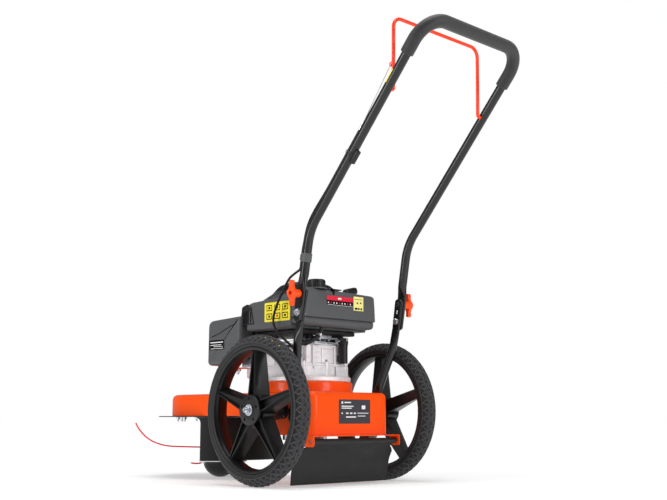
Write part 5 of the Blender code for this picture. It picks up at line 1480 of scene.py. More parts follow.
def crankcase():
    """Die-cast block in two tiers with ribs, corner bosses, a gasket line and its bolts."""
    low, high = from_axle("crankcase")
    foot, top = low.z, high.z
    half = CASE_HALF
    rear = ENGINE_Y + half
    bm = bmesh.new()
    lathe(bm, ring_profile(0.117, 0.02, foot, foot + 0.0115, 0.0015), ENGINE, 72)
    slab(bm, (-half, ENGINE_Y - half, foot + 0.008), (half, rear, foot + 0.041), 0.004, None, 0.014, 4)
    slab(bm, (-half + 0.003, ENGINE_Y - half + 0.002, foot + 0.04),
         (half - 0.003, rear - 0.002, foot + 0.045), 0.0015, None, 0.014, 4)
    slab(bm, (-0.066, ENGINE_Y - half + 0.004, foot + 0.043), (0.078, rear - 0.006, top - 0.004), 0.004,
         None, 0.016, 4)
    slab(bm, (-0.06, ENGINE_Y - half + 0.01, top - 0.006), (0.072, rear - 0.012, top), 0.002, None, 0.014, 4)
    piece("crankcase_casting", bm, "cast_aluminium", "crankcase")
    bm = bmesh.new()
    for x, z0, z1, deep in ((-0.064, foot + 0.012, foot + 0.044, 0.007),
                            (-0.028, foot + 0.01, top - 0.01, 0.005),
                            (0.008, foot + 0.012, foot + 0.046, 0.004),
                            (0.046, foot + 0.03, top - 0.006, 0.005),
                            (0.07, foot + 0.012, top - 0.008, 0.006)):
        slab(bm, (x - 0.0022, rear - 0.012, z0), (x + 0.0022, rear + deep - 0.005, z1), 0.0009)
        for side in (-1, 1):
            y = ENGINE_Y + x
            a, b = sorted((side * (half - 0.012), side * (half + deep - 0.006)))
            slab(bm, (a, y - 0.0022, z0), (b, y + 0.0022, z1), 0.0009)
    for z in (foot + 0.058, foot + 0.072):
        slab(bm, (-0.06, rear - 0.01, z), (0.072, rear - 0.0045, z + 0.0028), 0.0008)
    slab(bm, (-0.024, rear - 0.01, foot + 0.046), (0.016, rear - 0.003, foot + 0.082), 0.002, None, 0.003)
    piece("crankcase_ribs", bm, "cast_aluminium")
    bm = bmesh.new()
    heads = bmesh.new()
    for x, y in ((half - 0.011, rear - 0.011), (-half + 0.011, rear - 0.011),
                 (half - 0.011, ENGINE_Y - half + 0.011), (-half + 0.011, ENGINE_Y - half + 0.011),
                 (0.0, rear - 0.006)):
        lathe(bm, rounded_rod(0.0085, foot + 0.01, foot + 0.05, 0.002), at((x, y, 0)), 24)
        hex_head(heads, at((x, y, foot + 0.0498)), 0.009, 0.0052)
    for i in range(4):
        a = pi / 4 + pi / 2 * i
        spot = at(polar(0.107, a, foot + 0.0112, ENGINE_Y))
        lathe(heads, ring_profile(0.0078, 0.003, 0.0, 0.001, 0.0002), spot, 20)
        hex_head(heads, spot @ at((0, 0, 0.001)), 0.01, 0.005)
    piece("crankcase_bosses", bm, "cast_aluminium")
    piece("crankcase_bolts", heads, "zinc", angle=30, bevel=0.0003)
    blade, cap = from_axle("oil_dipstick")
    x, y, _ = centre_of("oil_dipstick")
    bm = bmesh.new()
    profile = [(0.0089, top - 0.04), (0.0115, top - 0.05), (0.0115, 0.344), (0.0125, 0.3446),
               (0.0125, 0.3456), (0.0118, 0.346), (0.0089, 0.346)]
    lathe(bm, profile, at((x, y, 0)), 32)
    slab(bm, (x - 0.01, y - 0.014, top - 0.046), (x + 0.01, y, top - 0.03), 0.003)
    piece("oil_filler_neck", bm, "black_plastic")
    bm = bmesh.new()
    base = 0.3461
    lathe(bm, [(0.0, base), (0.0128, base), (0.0132, base + 0.001), (0.0132, base + 0.0046),
               (0.012, base + 0.0056), (0.0, base + 0.0056)], at((x, y, 0)), 40)
    slab(bm, (x - 0.0115, y - 0.0022, base + 0.005), (x + 0.0115, y + 0.0022, cap.z), 0.0012)
    lathe(bm, rounded_rod(0.008, base - 0.008, base + 0.001, 0.0008), at((x, y, 0)), 32)
    slab(bm, (x - 0.0018, y - 0.0006, blade.z), (x + 0.0018, y + 0.0006, base - 0.006), 0.0003)
    piece("dipstick_cap", bm, "black_plastic", "oil_dipstick", body="dipstick")


def linkage():
    """Zinc control plate between the crankcase and the shroud, with governor arm, rods and springs."""
    rear = ENGINE_Y + CASE_HALF
    bm = bmesh.new()
    outline = rounded([(-0.07, rear - 0.02, 0.004), (-0.07, rear + 0.004, 0.004),
                       (-0.03, rear + 0.004, 0.003), (-0.026, rear - 0.002, 0.003),
                       (0.012, rear - 0.002, 0.003), (0.018, rear + 0.008, 0.004),
                       (0.06, rear + 0.008, 0.005), (0.066, rear - 0.02, 0.004)], 4)
    pressed(bm, outline, rounded_levels(0.3465, 0.3481, 0.0004, 0.0004, 2))
    slab(bm, (-0.071, rear + 0.001, 0.341), (-0.069, rear + 0.004, 0.362), 0.0006)
    slab(bm, (0.02, rear + 0.0064, 0.342), (0.05, rear + 0.008, 0.347), 0.0005)
    slab(bm, (-0.02, rear - 0.006, 0.356), (0.03, rear - 0.0044, 0.3655), 0.0006)
    piece("control_plate", bm, "zinc")
    bm = bmesh.new()
    for points in ([(-0.066, rear - 0.002, 0.36), (-0.03, rear + 0.003, 0.3585), (0.02, rear + 0.004, 0.3555),
                    (0.062, rear - 0.01, 0.353), (0.072, rear - 0.06, 0.35), (0.07, rear - 0.15, 0.345),
                    (0.072, rear - 0.185, 0.342)],
                   [(-0.05, rear + 0.002, 0.349), (-0.045, rear + 0.003, 0.356), (-0.01, rear + 0.004, 0.356),
                    (0.0, rear + 0.004, 0.35)],
                   [(0.03, rear + 0.006, 0.349), (0.034, rear + 0.007, 0.361), (0.05, rear + 0.002, 0.3625)]):
        tube(bm, smooth_route(points, 0.004), 0.001, 10)
    for k in range(9):
        ring = ring_profile(0.0032, 0.002, -0.0005, 0.0005, 0.0002)
        lathe(bm, ring, at((-0.04 + 0.0017 * k, rear + 0.005, 0.352)) @ rotated(pi / 2, "Y"), 16)
    piece("governor_rods", bm, "zinc", angle=40)
    bm = bmesh.new()
    for x, y, z in ((-0.058, rear - 0.006, 0.3481), (0.046, rear + 0.001, 0.3481),
                    (0.002, rear - 0.01, 0.3481)):
        hex_head(bm, at((x, y, z)), 0.0085, 0.0045)
    for x in (-0.064, -0.01, 0.05):
        lathe(bm, rounded_rod(0.0045, 0.338, 0.3475, 0.0008), at((x, rear - 0.016, 0)), 20)
    piece("control_plate_screws", bm, "zinc", angle=30)
    bm = bmesh.new()
    slab(bm, (-0.058, rear - 0.034, 0.3495), (0.026, rear - 0.006, 0.3675), 0.003)
    for x in (-0.082, 0.05, 0.078):
        lathe(bm, rounded_rod(0.0055, 0.338, 0.3665, 0.001), at((x * 0.86, rear - 0.022, 0)), 20)
    piece("brake_housing_under_tank", bm, "black_plastic")
    bm = bmesh.new()
    slab(bm, (0.0705, -0.006, 0.308), (0.085, 0.006, 0.316), 0.0012)
    slab(bm, (0.074, -0.02, 0.31), (0.086, 0.018, 0.312), 0.0006)
    lathe(bm, rounded_rod(0.0034, -0.004, 0.01, 0.0008),
          at((0.0805, 0.0, 0.314)) @ rotated(0.9, "Y"), 20)
    piece("brake_arm", bm, "zinc")


def hood():
    """Shroud over the flywheel, its sloped hood over the cylinder, and the black duct at their side."""
    low, high = from_axle("blower_cover")
    half, foot, top = high.x, low.z, high.z
    rear, front = high.y, low.y
    bm = bmesh.new()
    outline = rounded([(-half, rear, 0.002), (-half, front, 0.03), (half, front, 0.02),
                       (half, rear, 0.002)], 6)
    outline = anticlockwise(outline)
    levels = [(foot, 0.0052), (foot + 0.0008, 0.003), (foot + 0.0035, 0.0008), (foot + 0.008, 0.0),
              (0.425, 0.0006), (0.448, 0.002), (0.4535, 0.0032), (0.458, 0.0062), (0.4605, 0.0105),
              (top, 0.016)]
    rings = []
    for z, depth in levels:
        ring = []
        for p in inset(outline, depth):
            ahead = min(1.0, max(0.0, (-0.02 - p.y) / 0.14))
            fall = 0.013 * ahead if z > 0.44 else 0.0
            y = rear if p.y > rear - 0.02 else p.y
            ring.append(Vector((p.x, y, z - fall)))
        rings.append(ring)
    loft(bm, rings)
    piece("flywheel_shroud", bm, "engine_plastic", "blower_cover", angle=40)
    bm = bmesh.new()
    stations = [(-0.06, 0.066, 0.5), (-0.084, 0.07, 0.495), (-0.11, 0.076, 0.486), (-0.138, 0.079, 0.475),
                (-0.164, 0.079, 0.464), (-0.19, 0.076, 0.453), (-0.214, 0.071, 0.441), (-0.236, 0.066, 0.427),
                (-0.252, 0.061, 0.413), (-0.26, 0.055, 0.4), (-0.262, 0.05, 0.386)]

    def arch(y, wide, high_z, lift=0.0, first=0.0, last=pi):
        points = []
        for k in range(33):
            a = first + (last - first) * k / 32
            points.append(Vector((0.008 + (wide + lift) * (1 if cos(a) > 0 else -1) * abs(cos(a)) ** 0.5, y,
                                  0.37 + (high_z + lift - 0.37) * max(0.0, sin(a)) ** 0.45)))
        return points

    loft(bm, [arch(*station) for station in stations])
    piece("cylinder_hood", bm, "engine_plastic", "cylinder_cowl", angle=40)

    def hood_at(y):
        after = next(i for i, station in enumerate(stations) if station[0] <= y)
        share = (y - stations[after - 1][0]) / (stations[after][0] - stations[after - 1][0])
        return (stations[after - 1][i] * (1 - share) + stations[after][i] * share for i in (1, 2))

    # Painted shade: thin black bands under the louvres stand for the dark gaps between them.
    bands = ((0.6, 1.14), (pi - 1.14, pi - 0.6))
    bm = bmesh.new()
    for first, last in bands:
        rings = []
        for k in range(15):
            y = -0.094 - 0.0076 * k
            wide, high_z = hood_at(y)
            rings.append(arch(y, wide, high_z, 0.0005, first, last) + arch(y, wide, high_z, -0.001, last,
                    first))
        loft(bm, rings)
    piece("hood_vent", bm, "ink", angle=40, slot="engine_plastic")
    bm = bmesh.new()
    for k in range(13):
        y = -0.098 - 0.0082 * k
        wide, high_z = hood_at(y)
        for first, last in bands:
            tube(bm, arch(y, wide, high_z, 0.0006, first - 0.02, last + 0.02), 0.0019, 8)
    piece("hood_louvres", bm, "engine_plastic", angle=40)
    bm = bmesh.new()
    duct = rounded([(-0.172, 0.393, 0.002), (-0.118, 0.393, 0.003), (-0.13, 0.436, 0.008),
                    (-0.146, 0.446, 0.006), (-0.166, 0.44, 0.006)], 5)
    pressed(bm, duct, [(0.0845, 0.0), (0.1305, 0.0), (0.1315, 0.0008), (0.1318, 0.0022), (0.129, 0.0045)],
            on_left(0.0))
    for k in range(4):
        slab(bm, (0.13, -0.16 + 0.009 * k, 0.398), (0.1322, -0.1585 + 0.009 * k,
                0.43 - 0.002 * abs(k - 1.5)), 0.0004)
    slab(bm, (0.06, -0.176, 0.38), (0.112, -0.155, 0.432), 0.004)
    piece("intake_duct", bm, "black_plastic")
    bm = bmesh.new()
    for x, y in ((0.112, -0.14), (-0.112, -0.14), (-0.114, 0.006), (0.114, 0.006)):
        place = at((x, y, top - 0.0035 - 0.013 * min(1.0, max(0.0, (-0.02 - y) / 0.14))))
        lathe(bm, ring_profile(0.0068, 0.0026, 0.0, 0.0012, 0.0003), place, 24)
        hex_head(bm, place @ at((0, 0, 0.001)), 0.0078, 0.0036)
    piece("shroud_screws", bm, "zinc", angle=30)
    marks = []
    for col in range(3):
        for line in range(2):
            x0, y0 = 0.08 + 0.31 * col, 0.12 + 0.44 * line
            marks += [(x0, y0, x0 + 0.22, y0 + 0.045, 1), (x0, y0 + 0.27, x0 + 0.22, y0 + 0.315, 1),
                      (x0, y0, x0 + 0.022, y0 + 0.315, 1), (x0 + 0.198, y0, x0 + 0.22, y0 + 0.315, 1),
                      (x0 + 0.075, y0 + 0.1, x0 + 0.145, y0 + 0.22, 2 if (col, line) == (1, 0) else 1)]
    sticker("side_film", (-0.077, 0.3955), (0.0185, 0.4435), on_left(half + 0.0004), ["yellow", "ink", "red"],
            marks, corner=0.003)


def starter():
    """Domed rope-starter housing with louvres round its shoulder, and the rope's guide block."""
    low, high = from_axle("starter_housing")
    foot, top, radius = low.z, high.z, high.x
    shoulder = [(radius, foot), (radius, foot + 0.0045), (radius - 0.0012, foot + 0.008),
                (radius - 0.0075, foot + 0.018), (radius - 0.0165, foot + 0.0285),
                (radius - 0.026, foot + 0.035), (radius - 0.032, foot + 0.0372)]
    cap = [(0.053, foot + 0.0385), (0.051, foot + 0.0405), (0.047, top - 0.0006), (0.03, top), (0.0, top)]
    bm = bmesh.new()
    # Painted shade: the shoulder band behind the louvres takes the black finish, standing for the dark seen
    # through their gaps.
    for face in lathe(bm, [(0.0, foot), *shoulder, *cap], ENGINE, 96):
        face.material_index = 1 if foot + 0.01 < face.calc_center_median().z < foot + 0.0345 else 0
    piece("starter_dome", bm, ["engine_plastic", "ink"], "starter_housing")
    bm = bmesh.new()
    lean = at((radius - 0.0128, 0, foot + 0.0205)) @ rotated(radians(-43), "Y")
    slab(bm, (-0.003, -0.0017, -0.02), (0.002, 0.0017, 0.016), 0.0008, lean)
    repeated("starter_louvres", bm, "engine_plastic", LOUVRES, turn=2 * pi / LOUVRES, matrix=ENGINE)
    x, y = -0.098, -0.006
    bm = bmesh.new()
    slab(bm, (x - 0.014, y - 0.01, 0.456), (x + 0.014, y + 0.01, 0.4622), 0.0025)
    piece("rope_guide", bm, "black_plastic")
    low, high = from_axle("starter_grip")
    centre = (low + high) / 2
    bm = bmesh.new()
    lean = at((centre.x - 0.003, centre.y, high.z - 0.0045)) @ rotated(radians(13), "Y")
    length = (high.x - low.x) / 2 + 0.0015
    outline = rounded_box(-length, -0.0095, length, 0.0095, 0.0092)
    pressed(bm, outline, rounded_levels(-0.0098, 0.0098, 0.0075, 0.0075, 5), lean)
    for k in range(5):
        slab(bm, (-0.014 + 0.0065 * k, -0.0099, -0.004), (-0.012 + 0.0065 * k, 0.0099, 0.008), 0.0005, lean)
    lathe(bm, [(0.0, low.z), (0.0052, low.z), (0.0056, low.z + 0.001), (0.007, high.z - 0.01),
               (0.0, high.z - 0.008)], at((centre.x, centre.y, 0)), 24)
    piece("starter_pull_grip", bm, "black_plastic", "starter_grip", body="starter")


def fuel_tank():
    """Tank behind the shroud with a stepped lower lip, drain notch, ridge, cap and printed films."""
    low, high = from_axle("fuel_tank")
    half, rear, front = high.x, high.y, low.y
    foot, top = low.z, from_axle("fuel_cap")[0].z - 0.001

    def fallen(faces):
        for vert in {v for f in faces for v in f.verts}:
            if vert.co.z > HIP:
                vert.co.z -= 0.075 * max(0.0, -0.03 - vert.co.x) * (vert.co.z - HIP) / (top - HIP)

    bm = bmesh.new()
    seam = foot + 0.019
    outline = rounded([(-half, front, 0.001), (half, front, 0.001), (half, rear, 0.016),
                       (-half, rear, 0.016)], 8)
    fallen(pressed(bm, outline, [(seam + 0.0005, 0.0016), (seam + 0.0016, 0.0002), (seam + 0.003, 0.0),
                                 (0.44, 0.0012), (top - 0.0085, 0.0026), (top - 0.005, 0.004),
                                 (top - 0.0022, 0.0066), (top - 0.0006, 0.01), (top, 0.015)]))
    lip = rounded([(-half + 0.005, front, 0.001), (half - 0.001, front, 0.001),
                   (half - 0.001, rear - 0.002, 0.015), (-half + 0.005, rear - 0.002, 0.015)], 8)
    pressed(bm, lip, [(foot, 0.01), (foot + 0.001, 0.006), (foot + 0.0032, 0.0026), (foot + 0.007, 0.0006),
                      (foot + 0.011, 0.0), (seam - 0.0022, 0.0004), (seam - 0.0008, 0.0016),
                      (seam + 0.001, 0.004)])
    piece("fuel_tank_shell", bm, "engine_plastic", "fuel_tank", angle=38)
    x, y, _ = centre_of("fuel_cap")
    bm = bmesh.new()
    place = at((x, y, 0))
    lathe(bm, [(0.019, top - 0.002), (0.0262, top - 0.002), (0.0262, top + 0.0006), (0.0256, top + 0.0009),
               (0.019, top + 0.0009)], place, 56)
    slab(bm, (x - 0.04, rear - 0.017, top - 0.001), (x - 0.014, rear - 0.0155, top + 0.0018), 0.0006)
    slab(bm, (x - 0.075, rear - 0.024, top - 0.0016), (x - 0.032, rear - 0.008, top + 0.0016), 0.0012)
    piece("tank_neck_collar", bm, "engine_plastic")
    # Painted shade: a thin black notch stands for the dark inside the tank's drain slot.
    bm = bmesh.new()
    notch = rounded([(x - 0.043, top - 0.015, 0.0022), (x - 0.043, top - 0.002, 0.0),
                     (x - 0.048, top + 0.0002, 0.0), (x - 0.033, top + 0.0002, 0.0),
                     (x - 0.038, top - 0.002, 0.0), (x - 0.038, top - 0.015, 0.0022)], 4)
    notch = [Vector((-p.x, p.y)) for p in notch]
    pressed(bm, notch, [(-0.012, 0.0), (-0.0012, 0.0), (-0.0009, 0.0003)], on_rear(rear))
    piece("tank_drain_slot", bm, "ink", slot="engine_plastic")
    cap_low, cap_high = from_axle("fuel_cap")
    bm = turned([(0.0, cap_low.z), (0.0212, cap_low.z), (0.0216, cap_low.z + 0.0006),
                 (0.0218, cap_high.z - 0.0042), (0.0212, cap_high.z - 0.0018),
                 (0.0195, cap_high.z - 0.0004), (0.017, cap_high.z), (0.015, cap_high.z - 0.0008),
                 (0.0, cap_high.z - 0.0008)], place, 72)
    piece("fuel_cap_shell", bm, "black_plastic", "fuel_cap", body="fuel_cap", angle=32)
    bm = bmesh.new()
    slab(bm, (0.021, -0.0011, cap_low.z + 0.001), (0.0225, 0.0011, cap_high.z - 0.0032), 0.0006)
    repeated("fuel_cap_ribs", bm, "black_plastic", CAP_RIBS, "fuel_cap", turn=2 * pi / CAP_RIBS, matrix=place)
    face = on_rear(rear - 0.0011)
    sticker("rear_strip_red", (-0.05, 0.4475), (0.041, 0.4585), face, ["red", "white"],
            row_of(3, 0.42, 0.56, 0.3, 0.7, 1, 0.8), corner=0.0006)
    marks = [(0.04 + 0.105 * i, 0.34, 0.075 + 0.105 * i, 0.66, 2 if i % 3 == 1 else 1) for i in range(9)]
    marks.append((0.02, 0.04, 0.98, 0.1, 1))
    sticker("rear_strip_black", (-0.05, 0.4355), (0.041, 0.4475), face, ["ink", "white", "red"], marks,
            corner=0.0006)
    marks = [(0.12, 0.1, 0.4, 0.24, 1), (0.45, 0.1, 0.62, 0.24, 1), (0.7, 0.1, 0.88, 0.24, 1),
             (0.3, 0.5, 0.45, 0.62, 1), (0.66, 0.52, 0.8, 0.64, 1), (0.1, 0.8, 0.86, 0.83, 1)]
    sticker("rear_film_pale", (0.0435, 0.426), (0.0785, 0.463), face, ["pale", "ink"], marks, corner=0.002)


def air_cleaner():
    """Moulded cover with a curved groove and ridge, its black base, plate and knob."""
    low, high = from_axle("air_cleaner_cover")
    x0, x1 = low.x, high.x
    front, rear, foot, top = low.y, high.y, low.z, high.z
    outline = rounded([(front + 0.0015, top - 0.006, 0.018), (rear, top, 0.008),
                       (rear, foot + 0.062, 0.012), (rear - 0.024, foot + 0.026, 0.014),
                       (rear - 0.062, foot, 0.014), (front, foot, 0.012)], 6)
    bm = bmesh.new()
    pressed(bm, outline, [(x0, 0.0005), (x0 + 0.001, 0.0), (x0 + 0.02, 0.0006), (x1 - 0.0105, 0.0008),
                          (x1 - 0.0062, 0.0018), (x1 - 0.0028, 0.004), (x1 - 0.0008, 0.0072), (x1, 0.011)],
            on_left(0.0))
    piece("air_cleaner_shell", bm, "engine_plastic", "air_cleaner_cover", angle=40)
    # Painted shade: the groove is a thin black line on the cover in place of a recess.
    bm = bmesh.new()
    groove = smooth_route(((x1 - 0.006, front + 0.0045, 0.363), (x1 - 0.0002, front + 0.02, 0.369),
                           (x1 - 0.0001, -0.25, 0.376), (x1 - 0.0001, -0.214, 0.389),
                           (x1 - 0.0006, -0.18, 0.399), (x1 - 0.0052, -0.1665, 0.402)), 0.006)
    tube(bm, groove, 0.0011, 10)
    piece("air_cleaner_groove", bm, "ink", angle=40, slot="engine_plastic")
    bm = bmesh.new()
    ridge = smooth_route(((x1 - 0.0045, front + 0.006, 0.304), (x1 - 0.0006, -0.276, 0.311),
                          (x1 - 0.0004, -0.252, 0.323), (x1 - 0.0004, -0.232, 0.343),
                          (x1 - 0.0004, -0.218, 0.366), (x1 - 0.0004, -0.2115, 0.388)), 0.006)
    tube(bm, ridge, 0.001, 10)
    piece("air_cleaner_ridge", bm, "engine_plastic", angle=40)
    marks = [(0.08, 0.7, 0.92, 0.8, 1), (0.08, 0.46, 0.8, 0.52, 1), (0.3, 0.3, 0.9, 0.35, 1),
             (0.1, 0.1, 0.94, 0.15, 1)]
    sticker("air_cleaner_plate", (front + 0.0115, 0.335), (-0.2255, 0.3605), on_left(x1 + 0.0002),
            ["ink", "white"], marks, corner=0.001)
    low, high = from_axle("air_cleaner_base")
    bm = bmesh.new()
    pressed(bm, inset(anticlockwise(outline), 0.003), rounded_levels(low.x, high.x, 0.003, 0.0, 3),
            on_left(0.0))
    piece("air_cleaner_back", bm, "black_plastic", "air_cleaner_base", angle=40)
    bm = bmesh.new()
    stem = at((0.118, -0.196, foot - 0.004))
    lathe(bm, ring_profile(0.0085, 0.003, -0.012, -0.006, 0.0006), stem, 32)
    hex_head(bm, stem @ at((0, 0, -0.012)) @ rotated(pi, "X"), 0.0095, 0.005)
    lathe(bm, rounded_rod(0.003, -0.02, 0.02, 0.0006), stem, 16)
    piece("air_cleaner_stud", bm, "zinc", angle=30)
    bm = bmesh.new()
    lever = rounded([(0.104, -0.214, 0.004), (0.126, -0.214, 0.005), (0.128, -0.176, 0.006),
                     (0.1, -0.168, 0.006)], 5)
    pressed(bm, lever, rounded_levels(foot - 0.0098, foot - 0.007, 0.0008, 0.0008, 2))
    slab(bm, (0.06, -0.168, foot - 0.0096), (0.104, -0.158, foot - 0.0074), 0.0006)
    piece("choke_lever", bm, "orange_plastic")


def exhaust():
    """Muffler with a pressed seam, and a slotted guard that stands off its outer face."""
    low, high = from_axle("muffler")
    bm = bmesh.new()
    middle_y = (low.y + high.y) / 2
    slab(bm, (low.x + 0.004, low.y, low.z + 0.003), (high.x, high.y, high.z - 0.003), 0.006, None, 0.014, 4)
    outline = rounded_box(low.y, low.z + 0.001, high.y, high.z - 0.001, 0.014)
    centre = (low.x + high.x) / 2 + 0.004
    pressed(bm, outline, rounded_levels(centre - 0.0012, centre + 0.0012, 0.0006, 0.0006, 2),
            on_left(0.0))
    lathe(bm, rounded_rod(0.014, 0.0, high.x - low.x + 0.004, 0.002),
          at((high.x + 0.003, middle_y, (low.z + high.z) / 2)) @ rotated(-pi / 2, "Y"), 32)
    piece("muffler_body", bm, "steel", "muffler", angle=40)
    bm = bmesh.new()
    x = low.x
    slab(bm, (x, low.y + 0.004, low.z + 0.004), (x + 0.0012, high.y - 0.004, low.z + 0.012), 0.0004)
    slab(bm, (x, low.y + 0.004, high.z - 0.012), (x + 0.0012, high.y - 0.004, high.z - 0.004), 0.0004)
    for y in (low.y + 0.004, high.y - 0.01):
        slab(bm, (x, y, low.z + 0.01), (x + 0.0012, y + 0.006, high.z - 0.01), 0.0004)
    piece("muffler_guard", bm, "black_steel")
    bm = bmesh.new()
    slab(bm, (x, low.y + 0.009, low.z + 0.013), (x + 0.0012, high.y - 0.009, low.z + 0.0165), 0.0004)
    repeated("muffler_guard_bars", bm, "black_steel", 7, step=(0, 0, 0.0076))
    bm = bmesh.new()
    mouth = at((x + 0.0005, middle_y - 0.016, low.z + 0.012)) @ rotated(-pi / 2, "Y")
    lathe(bm, ring_profile(0.0075, 0.0055, -0.01, 0.0004, 0.0004), mouth, 32)
    piece("muffler_outlet", bm, "steel")


def fuel_hose():
    """Elbow under the tank with its spring clamps, and the hose on to the carburettor."""
    foot = from_axle("fuel_tank")[0].z
    points = [(0.05, 0.043, foot - 0.002), (0.05, 0.043, foot - 0.012), (0.06, 0.039, 0.356),
              (0.08, 0.024, 0.342), (0.092, -0.01, 0.336), (0.094, -0.07, 0.334), (0.0915, -0.11, 0.328),
              (0.0905, -0.138, 0.322), (0.086, -0.152, 0.319), (0.0795, -0.161, 0.318),
              (0.079, -0.1705, 0.318)]
    route = smooth_route(points, 0.005)
    bm = bmesh.new()
    tube(bm, route, 0.0035, 24)
    tube(bm, route[1:14], 0.0058, 24)
    piece("fuel_hose_rubber", bm, "black_rubber", "fuel_hose", angle=40)
    bm = bmesh.new()
    for index in (4, -3):
        spot, way = route[index], (route[index + 1] - route[index - 1]).normalized()
        turn = at(spot) @ way.to_track_quat("Z", "Y").to_matrix().to_4x4()
        outer = 0.0069 if index > 0 else 0.0046
        lathe(bm, ring_profile(outer, outer - 0.0014, -0.003, 0.003, 0.0003), turn, 28)
        slab(bm, (outer - 0.0006, -0.0012, -0.003), (outer + 0.0034, 0.0012, 0.003), 0.0005, turn)
    piece("hose_clamps", bm, "zinc")


def plug_lead():
    """Rubber boot over the plug, and its lead back under the hood."""
    low, high = from_axle("spark_plug")
    z = (low.z + high.z) / 2
    bm = bmesh.new()
    turn = at((0, low.y + 0.01, z)) @ rotated(pi / 2, "X")
    lathe(bm, [(0.0, 0.0), (0.0105, 0.0), (0.011, 0.001), (0.01, 0.0065), (0.0088, 0.0095), (0.006, 0.0105),
               (0.0, 0.0105)], turn, 32)
    elbow = ((0, low.y + 0.006, z), (0.004, low.y + 0.006, z + 0.014), (0.01, low.y + 0.008, z + 0.034),
                                 (0.016, low.y + 0.03, z + 0.055), (0.018, low.y + 0.06, z + 0.068))
    tube(bm, smooth_route(elbow, 0.004), 0.0035, 16)
    piece("plug_boot_and_lead", bm, "black_rubber", angle=40)


# -------- labels and small fittings

def small_fittings():
    """Rating plate on the deck, film on the left tube, and the cable guide behind it."""
    face = from_axle("deck")[1].y
    marks = [(0.08, 0.82, 0.13, 0.92, 1), (0.17, 0.85, 0.38, 0.9, 1), (0.08, 0.7, 0.46, 0.74, 1),
             (0.08, 0.62, 0.4, 0.66, 1), (0.72, 0.6, 0.84, 0.76, 1), (0.08, 0.4, 0.12, 0.46, 1),
             (0.22, 0.4, 0.3, 0.46, 1), (0.35, 0.4, 0.42, 0.46, 1), (0.47, 0.4, 0.53, 0.46, 1),
             (0.58, 0.42, 0.94, 0.45, 1), (0.22, 0.25, 0.54, 0.3, 1), (0.6, 0.3, 0.84, 0.33, 1)]
    sticker("rating_film", (-0.044, 0.146), (0.064, 0.204), on_rear(face + 0.0001), ["slate", "white"],
            marks, "deck_paint")
    bm = bmesh.new()
    along = rotated(-(pi / 2 - atan2(UP_HIGH.y, UP_HIGH.x)), "X")
    start = BEND + UP_HIGH * 0.395
    place = at(side_point(start, TUBE_X)) @ along
    ring = []
    for radius, flip in ((TUBE_R + 0.0004, 1), (TUBE_R - 0.0004, -1)):
        angles = [radians(-78) + radians(66) * k / 8 for k in range(9)][::flip]
        ring += [Vector((radius * cos(a), radius * sin(a), 0)) for a in angles]
    loft(bm, [[place @ (p + Vector((0, 0, z))) for p in ring] for z in (0.0, 0.034)])
    piece("tube_film", bm, "yellow", body="handle", slot="tube_paint")
    bm = bmesh.new()
    spot = BEND + UP_HIGH * 0.212
    place = at(side_point(spot, TUBE_X)) @ along
    slab(bm, (-0.0065, 0.008, -0.017), (0.0065, 0.02, 0.017), 0.0028, place)
    lathe(bm, ring_profile(TUBE_R + 0.0016, TUBE_R + 0.0001, -0.005, 0.005, 0.0004), place, 36)
    piece("cable_guide", bm, "black_plastic", body="handle")
    bm = bmesh.new()
    head = place @ rotated(radians(-48), "Z") @ at((TUBE_R + 0.0014, 0.0, 0.0)) \
        @ rotated(pi / 2, "Y")
    lathe(bm, [(0.0, 0.0), (0.0052, 0.0), (0.0052, 0.0008), (0.0036, 0.0024), (0.0, 0.003)], head, 24)
    piece("cable_guide_screw", bm, "zinc", body="handle")


def carried_over():
    """Every CAD part, shown or hidden, takes the finish of its slot."""
    for part in frame["record"]["subparts"]:
        mesh = frame["nodes"][part["node"]].data
        mesh.materials.clear()
        mesh.materials.append(MAT[part["material_slot"]])


# -------- studio

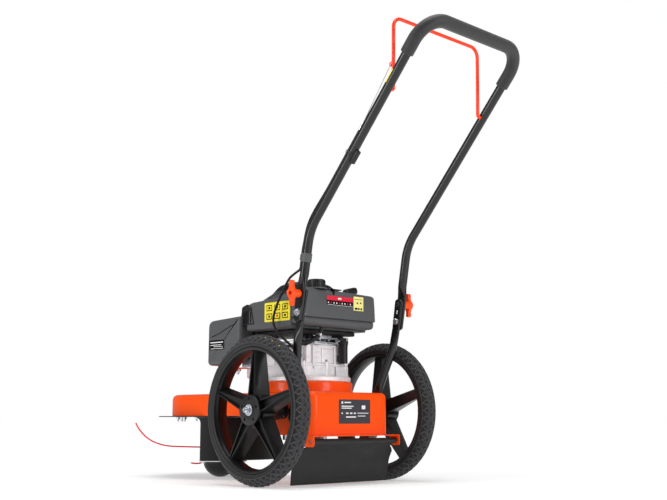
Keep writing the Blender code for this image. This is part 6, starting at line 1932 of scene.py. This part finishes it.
def floor():
    """Plain near-white sweep; it is not part of the machine."""
    bm = bmesh.new()
    half = 60.0
    corners = [(-half, -half), (half, -half), (half, half), (-half, half)]
    bm.faces.new([bm.verts.new((x, y, 0.0)) for x, y in corners])
    mesh = mesh_from("studio_floor", bm)
    mat = bpy.data.materials.new("studio_white")
    mat.use_nodes = True
    shader = mat.node_tree.nodes["Principled BSDF"]
    shader.inputs["Base Color"].default_value = linear("F4F4F4")
    shader.inputs["Roughness"].default_value = 0.7
    shader.inputs["Specular IOR Level"].default_value = 0.1
    shader.inputs["Emission Color"].default_value = linear("FFFFFF")
    place = add(mat.node_tree, "ShaderNodeTexCoord").outputs["Object"]
    away = add(mat.node_tree, "ShaderNodeVectorMath", {"operation": "LENGTH"}, {0: place})
    glow = add(mat.node_tree, "ShaderNodeMapRange", None, {"Value": away.outputs["Value"], 1: 0.4, 2: 4.0,
            3: 0.32, 4: 0.76})
    mat.node_tree.links.new(glow.outputs["Result"], shader.inputs["Emission Strength"])
    mesh.materials.append(mat)
    obj = shown("studio_floor", mesh)


def area_light(name, place, target, size, power):
    light = bpy.data.lights.new(name, "AREA")
    light.shape = "RECTANGLE"
    light.size, light.size_y = size
    light.energy = power
    obj = shown(name, light)
    obj.location = place
    towards(obj, Vector(target) - Vector(place))


def studio():
    """White surroundings with large soft lights above, beside and behind the operator's place."""
    world = bpy.data.worlds.new("studio")
    world.use_nodes = True
    tree = world.node_tree
    seen = tree.nodes["Background"]
    seen.inputs["Color"].default_value = (1.0, 1.0, 1.0, 1.0)
    seen.inputs["Strength"].default_value = 1.0
    fill = add(tree, "ShaderNodeBackground", None, {"Color": (1.0, 1.0, 1.0, 1.0), "Strength": 0.26})
    path = add(tree, "ShaderNodeLightPath")
    both = add(tree, "ShaderNodeMixShader", None,
               {0: path.outputs["Is Camera Ray"], 1: fill.outputs[0], 2: seen.outputs[0]})
    tree.links.new(both.outputs[0], tree.nodes["World Output"].inputs["Surface"])
    bpy.context.scene.world = world
    bpy.context.scene.view_settings.view_transform = "Standard"
    middle_of_all = (CAD_BOX[0] + CAD_BOX[1]) / 2
    area_light("overhead", (0.3, 0.4, 3.2), middle_of_all, (2.0, 2.0), 46)
    area_light("left_front", (2.9, -0.6, 1.4), middle_of_all, (0.8, 2.2), 40)
    area_light("right_rear", (-0.6, 3.3, 1.5), middle_of_all, (1.0, 2.2), 44)


for build in (camera, studio, floor, cutting_lines, wheels, axle, deck, engine_seat, rear_bracket,
              flap, guard_plate, skirt, cutter, spindle, trimmer_head, glide_cup, handle, brackets,
              bail, cable_fittings, lower_cable, crankcase, linkage, hood, starter, fuel_tank,
              air_cleaner, exhaust, fuel_hose, plug_lead, small_fittings, carried_over):
    build()
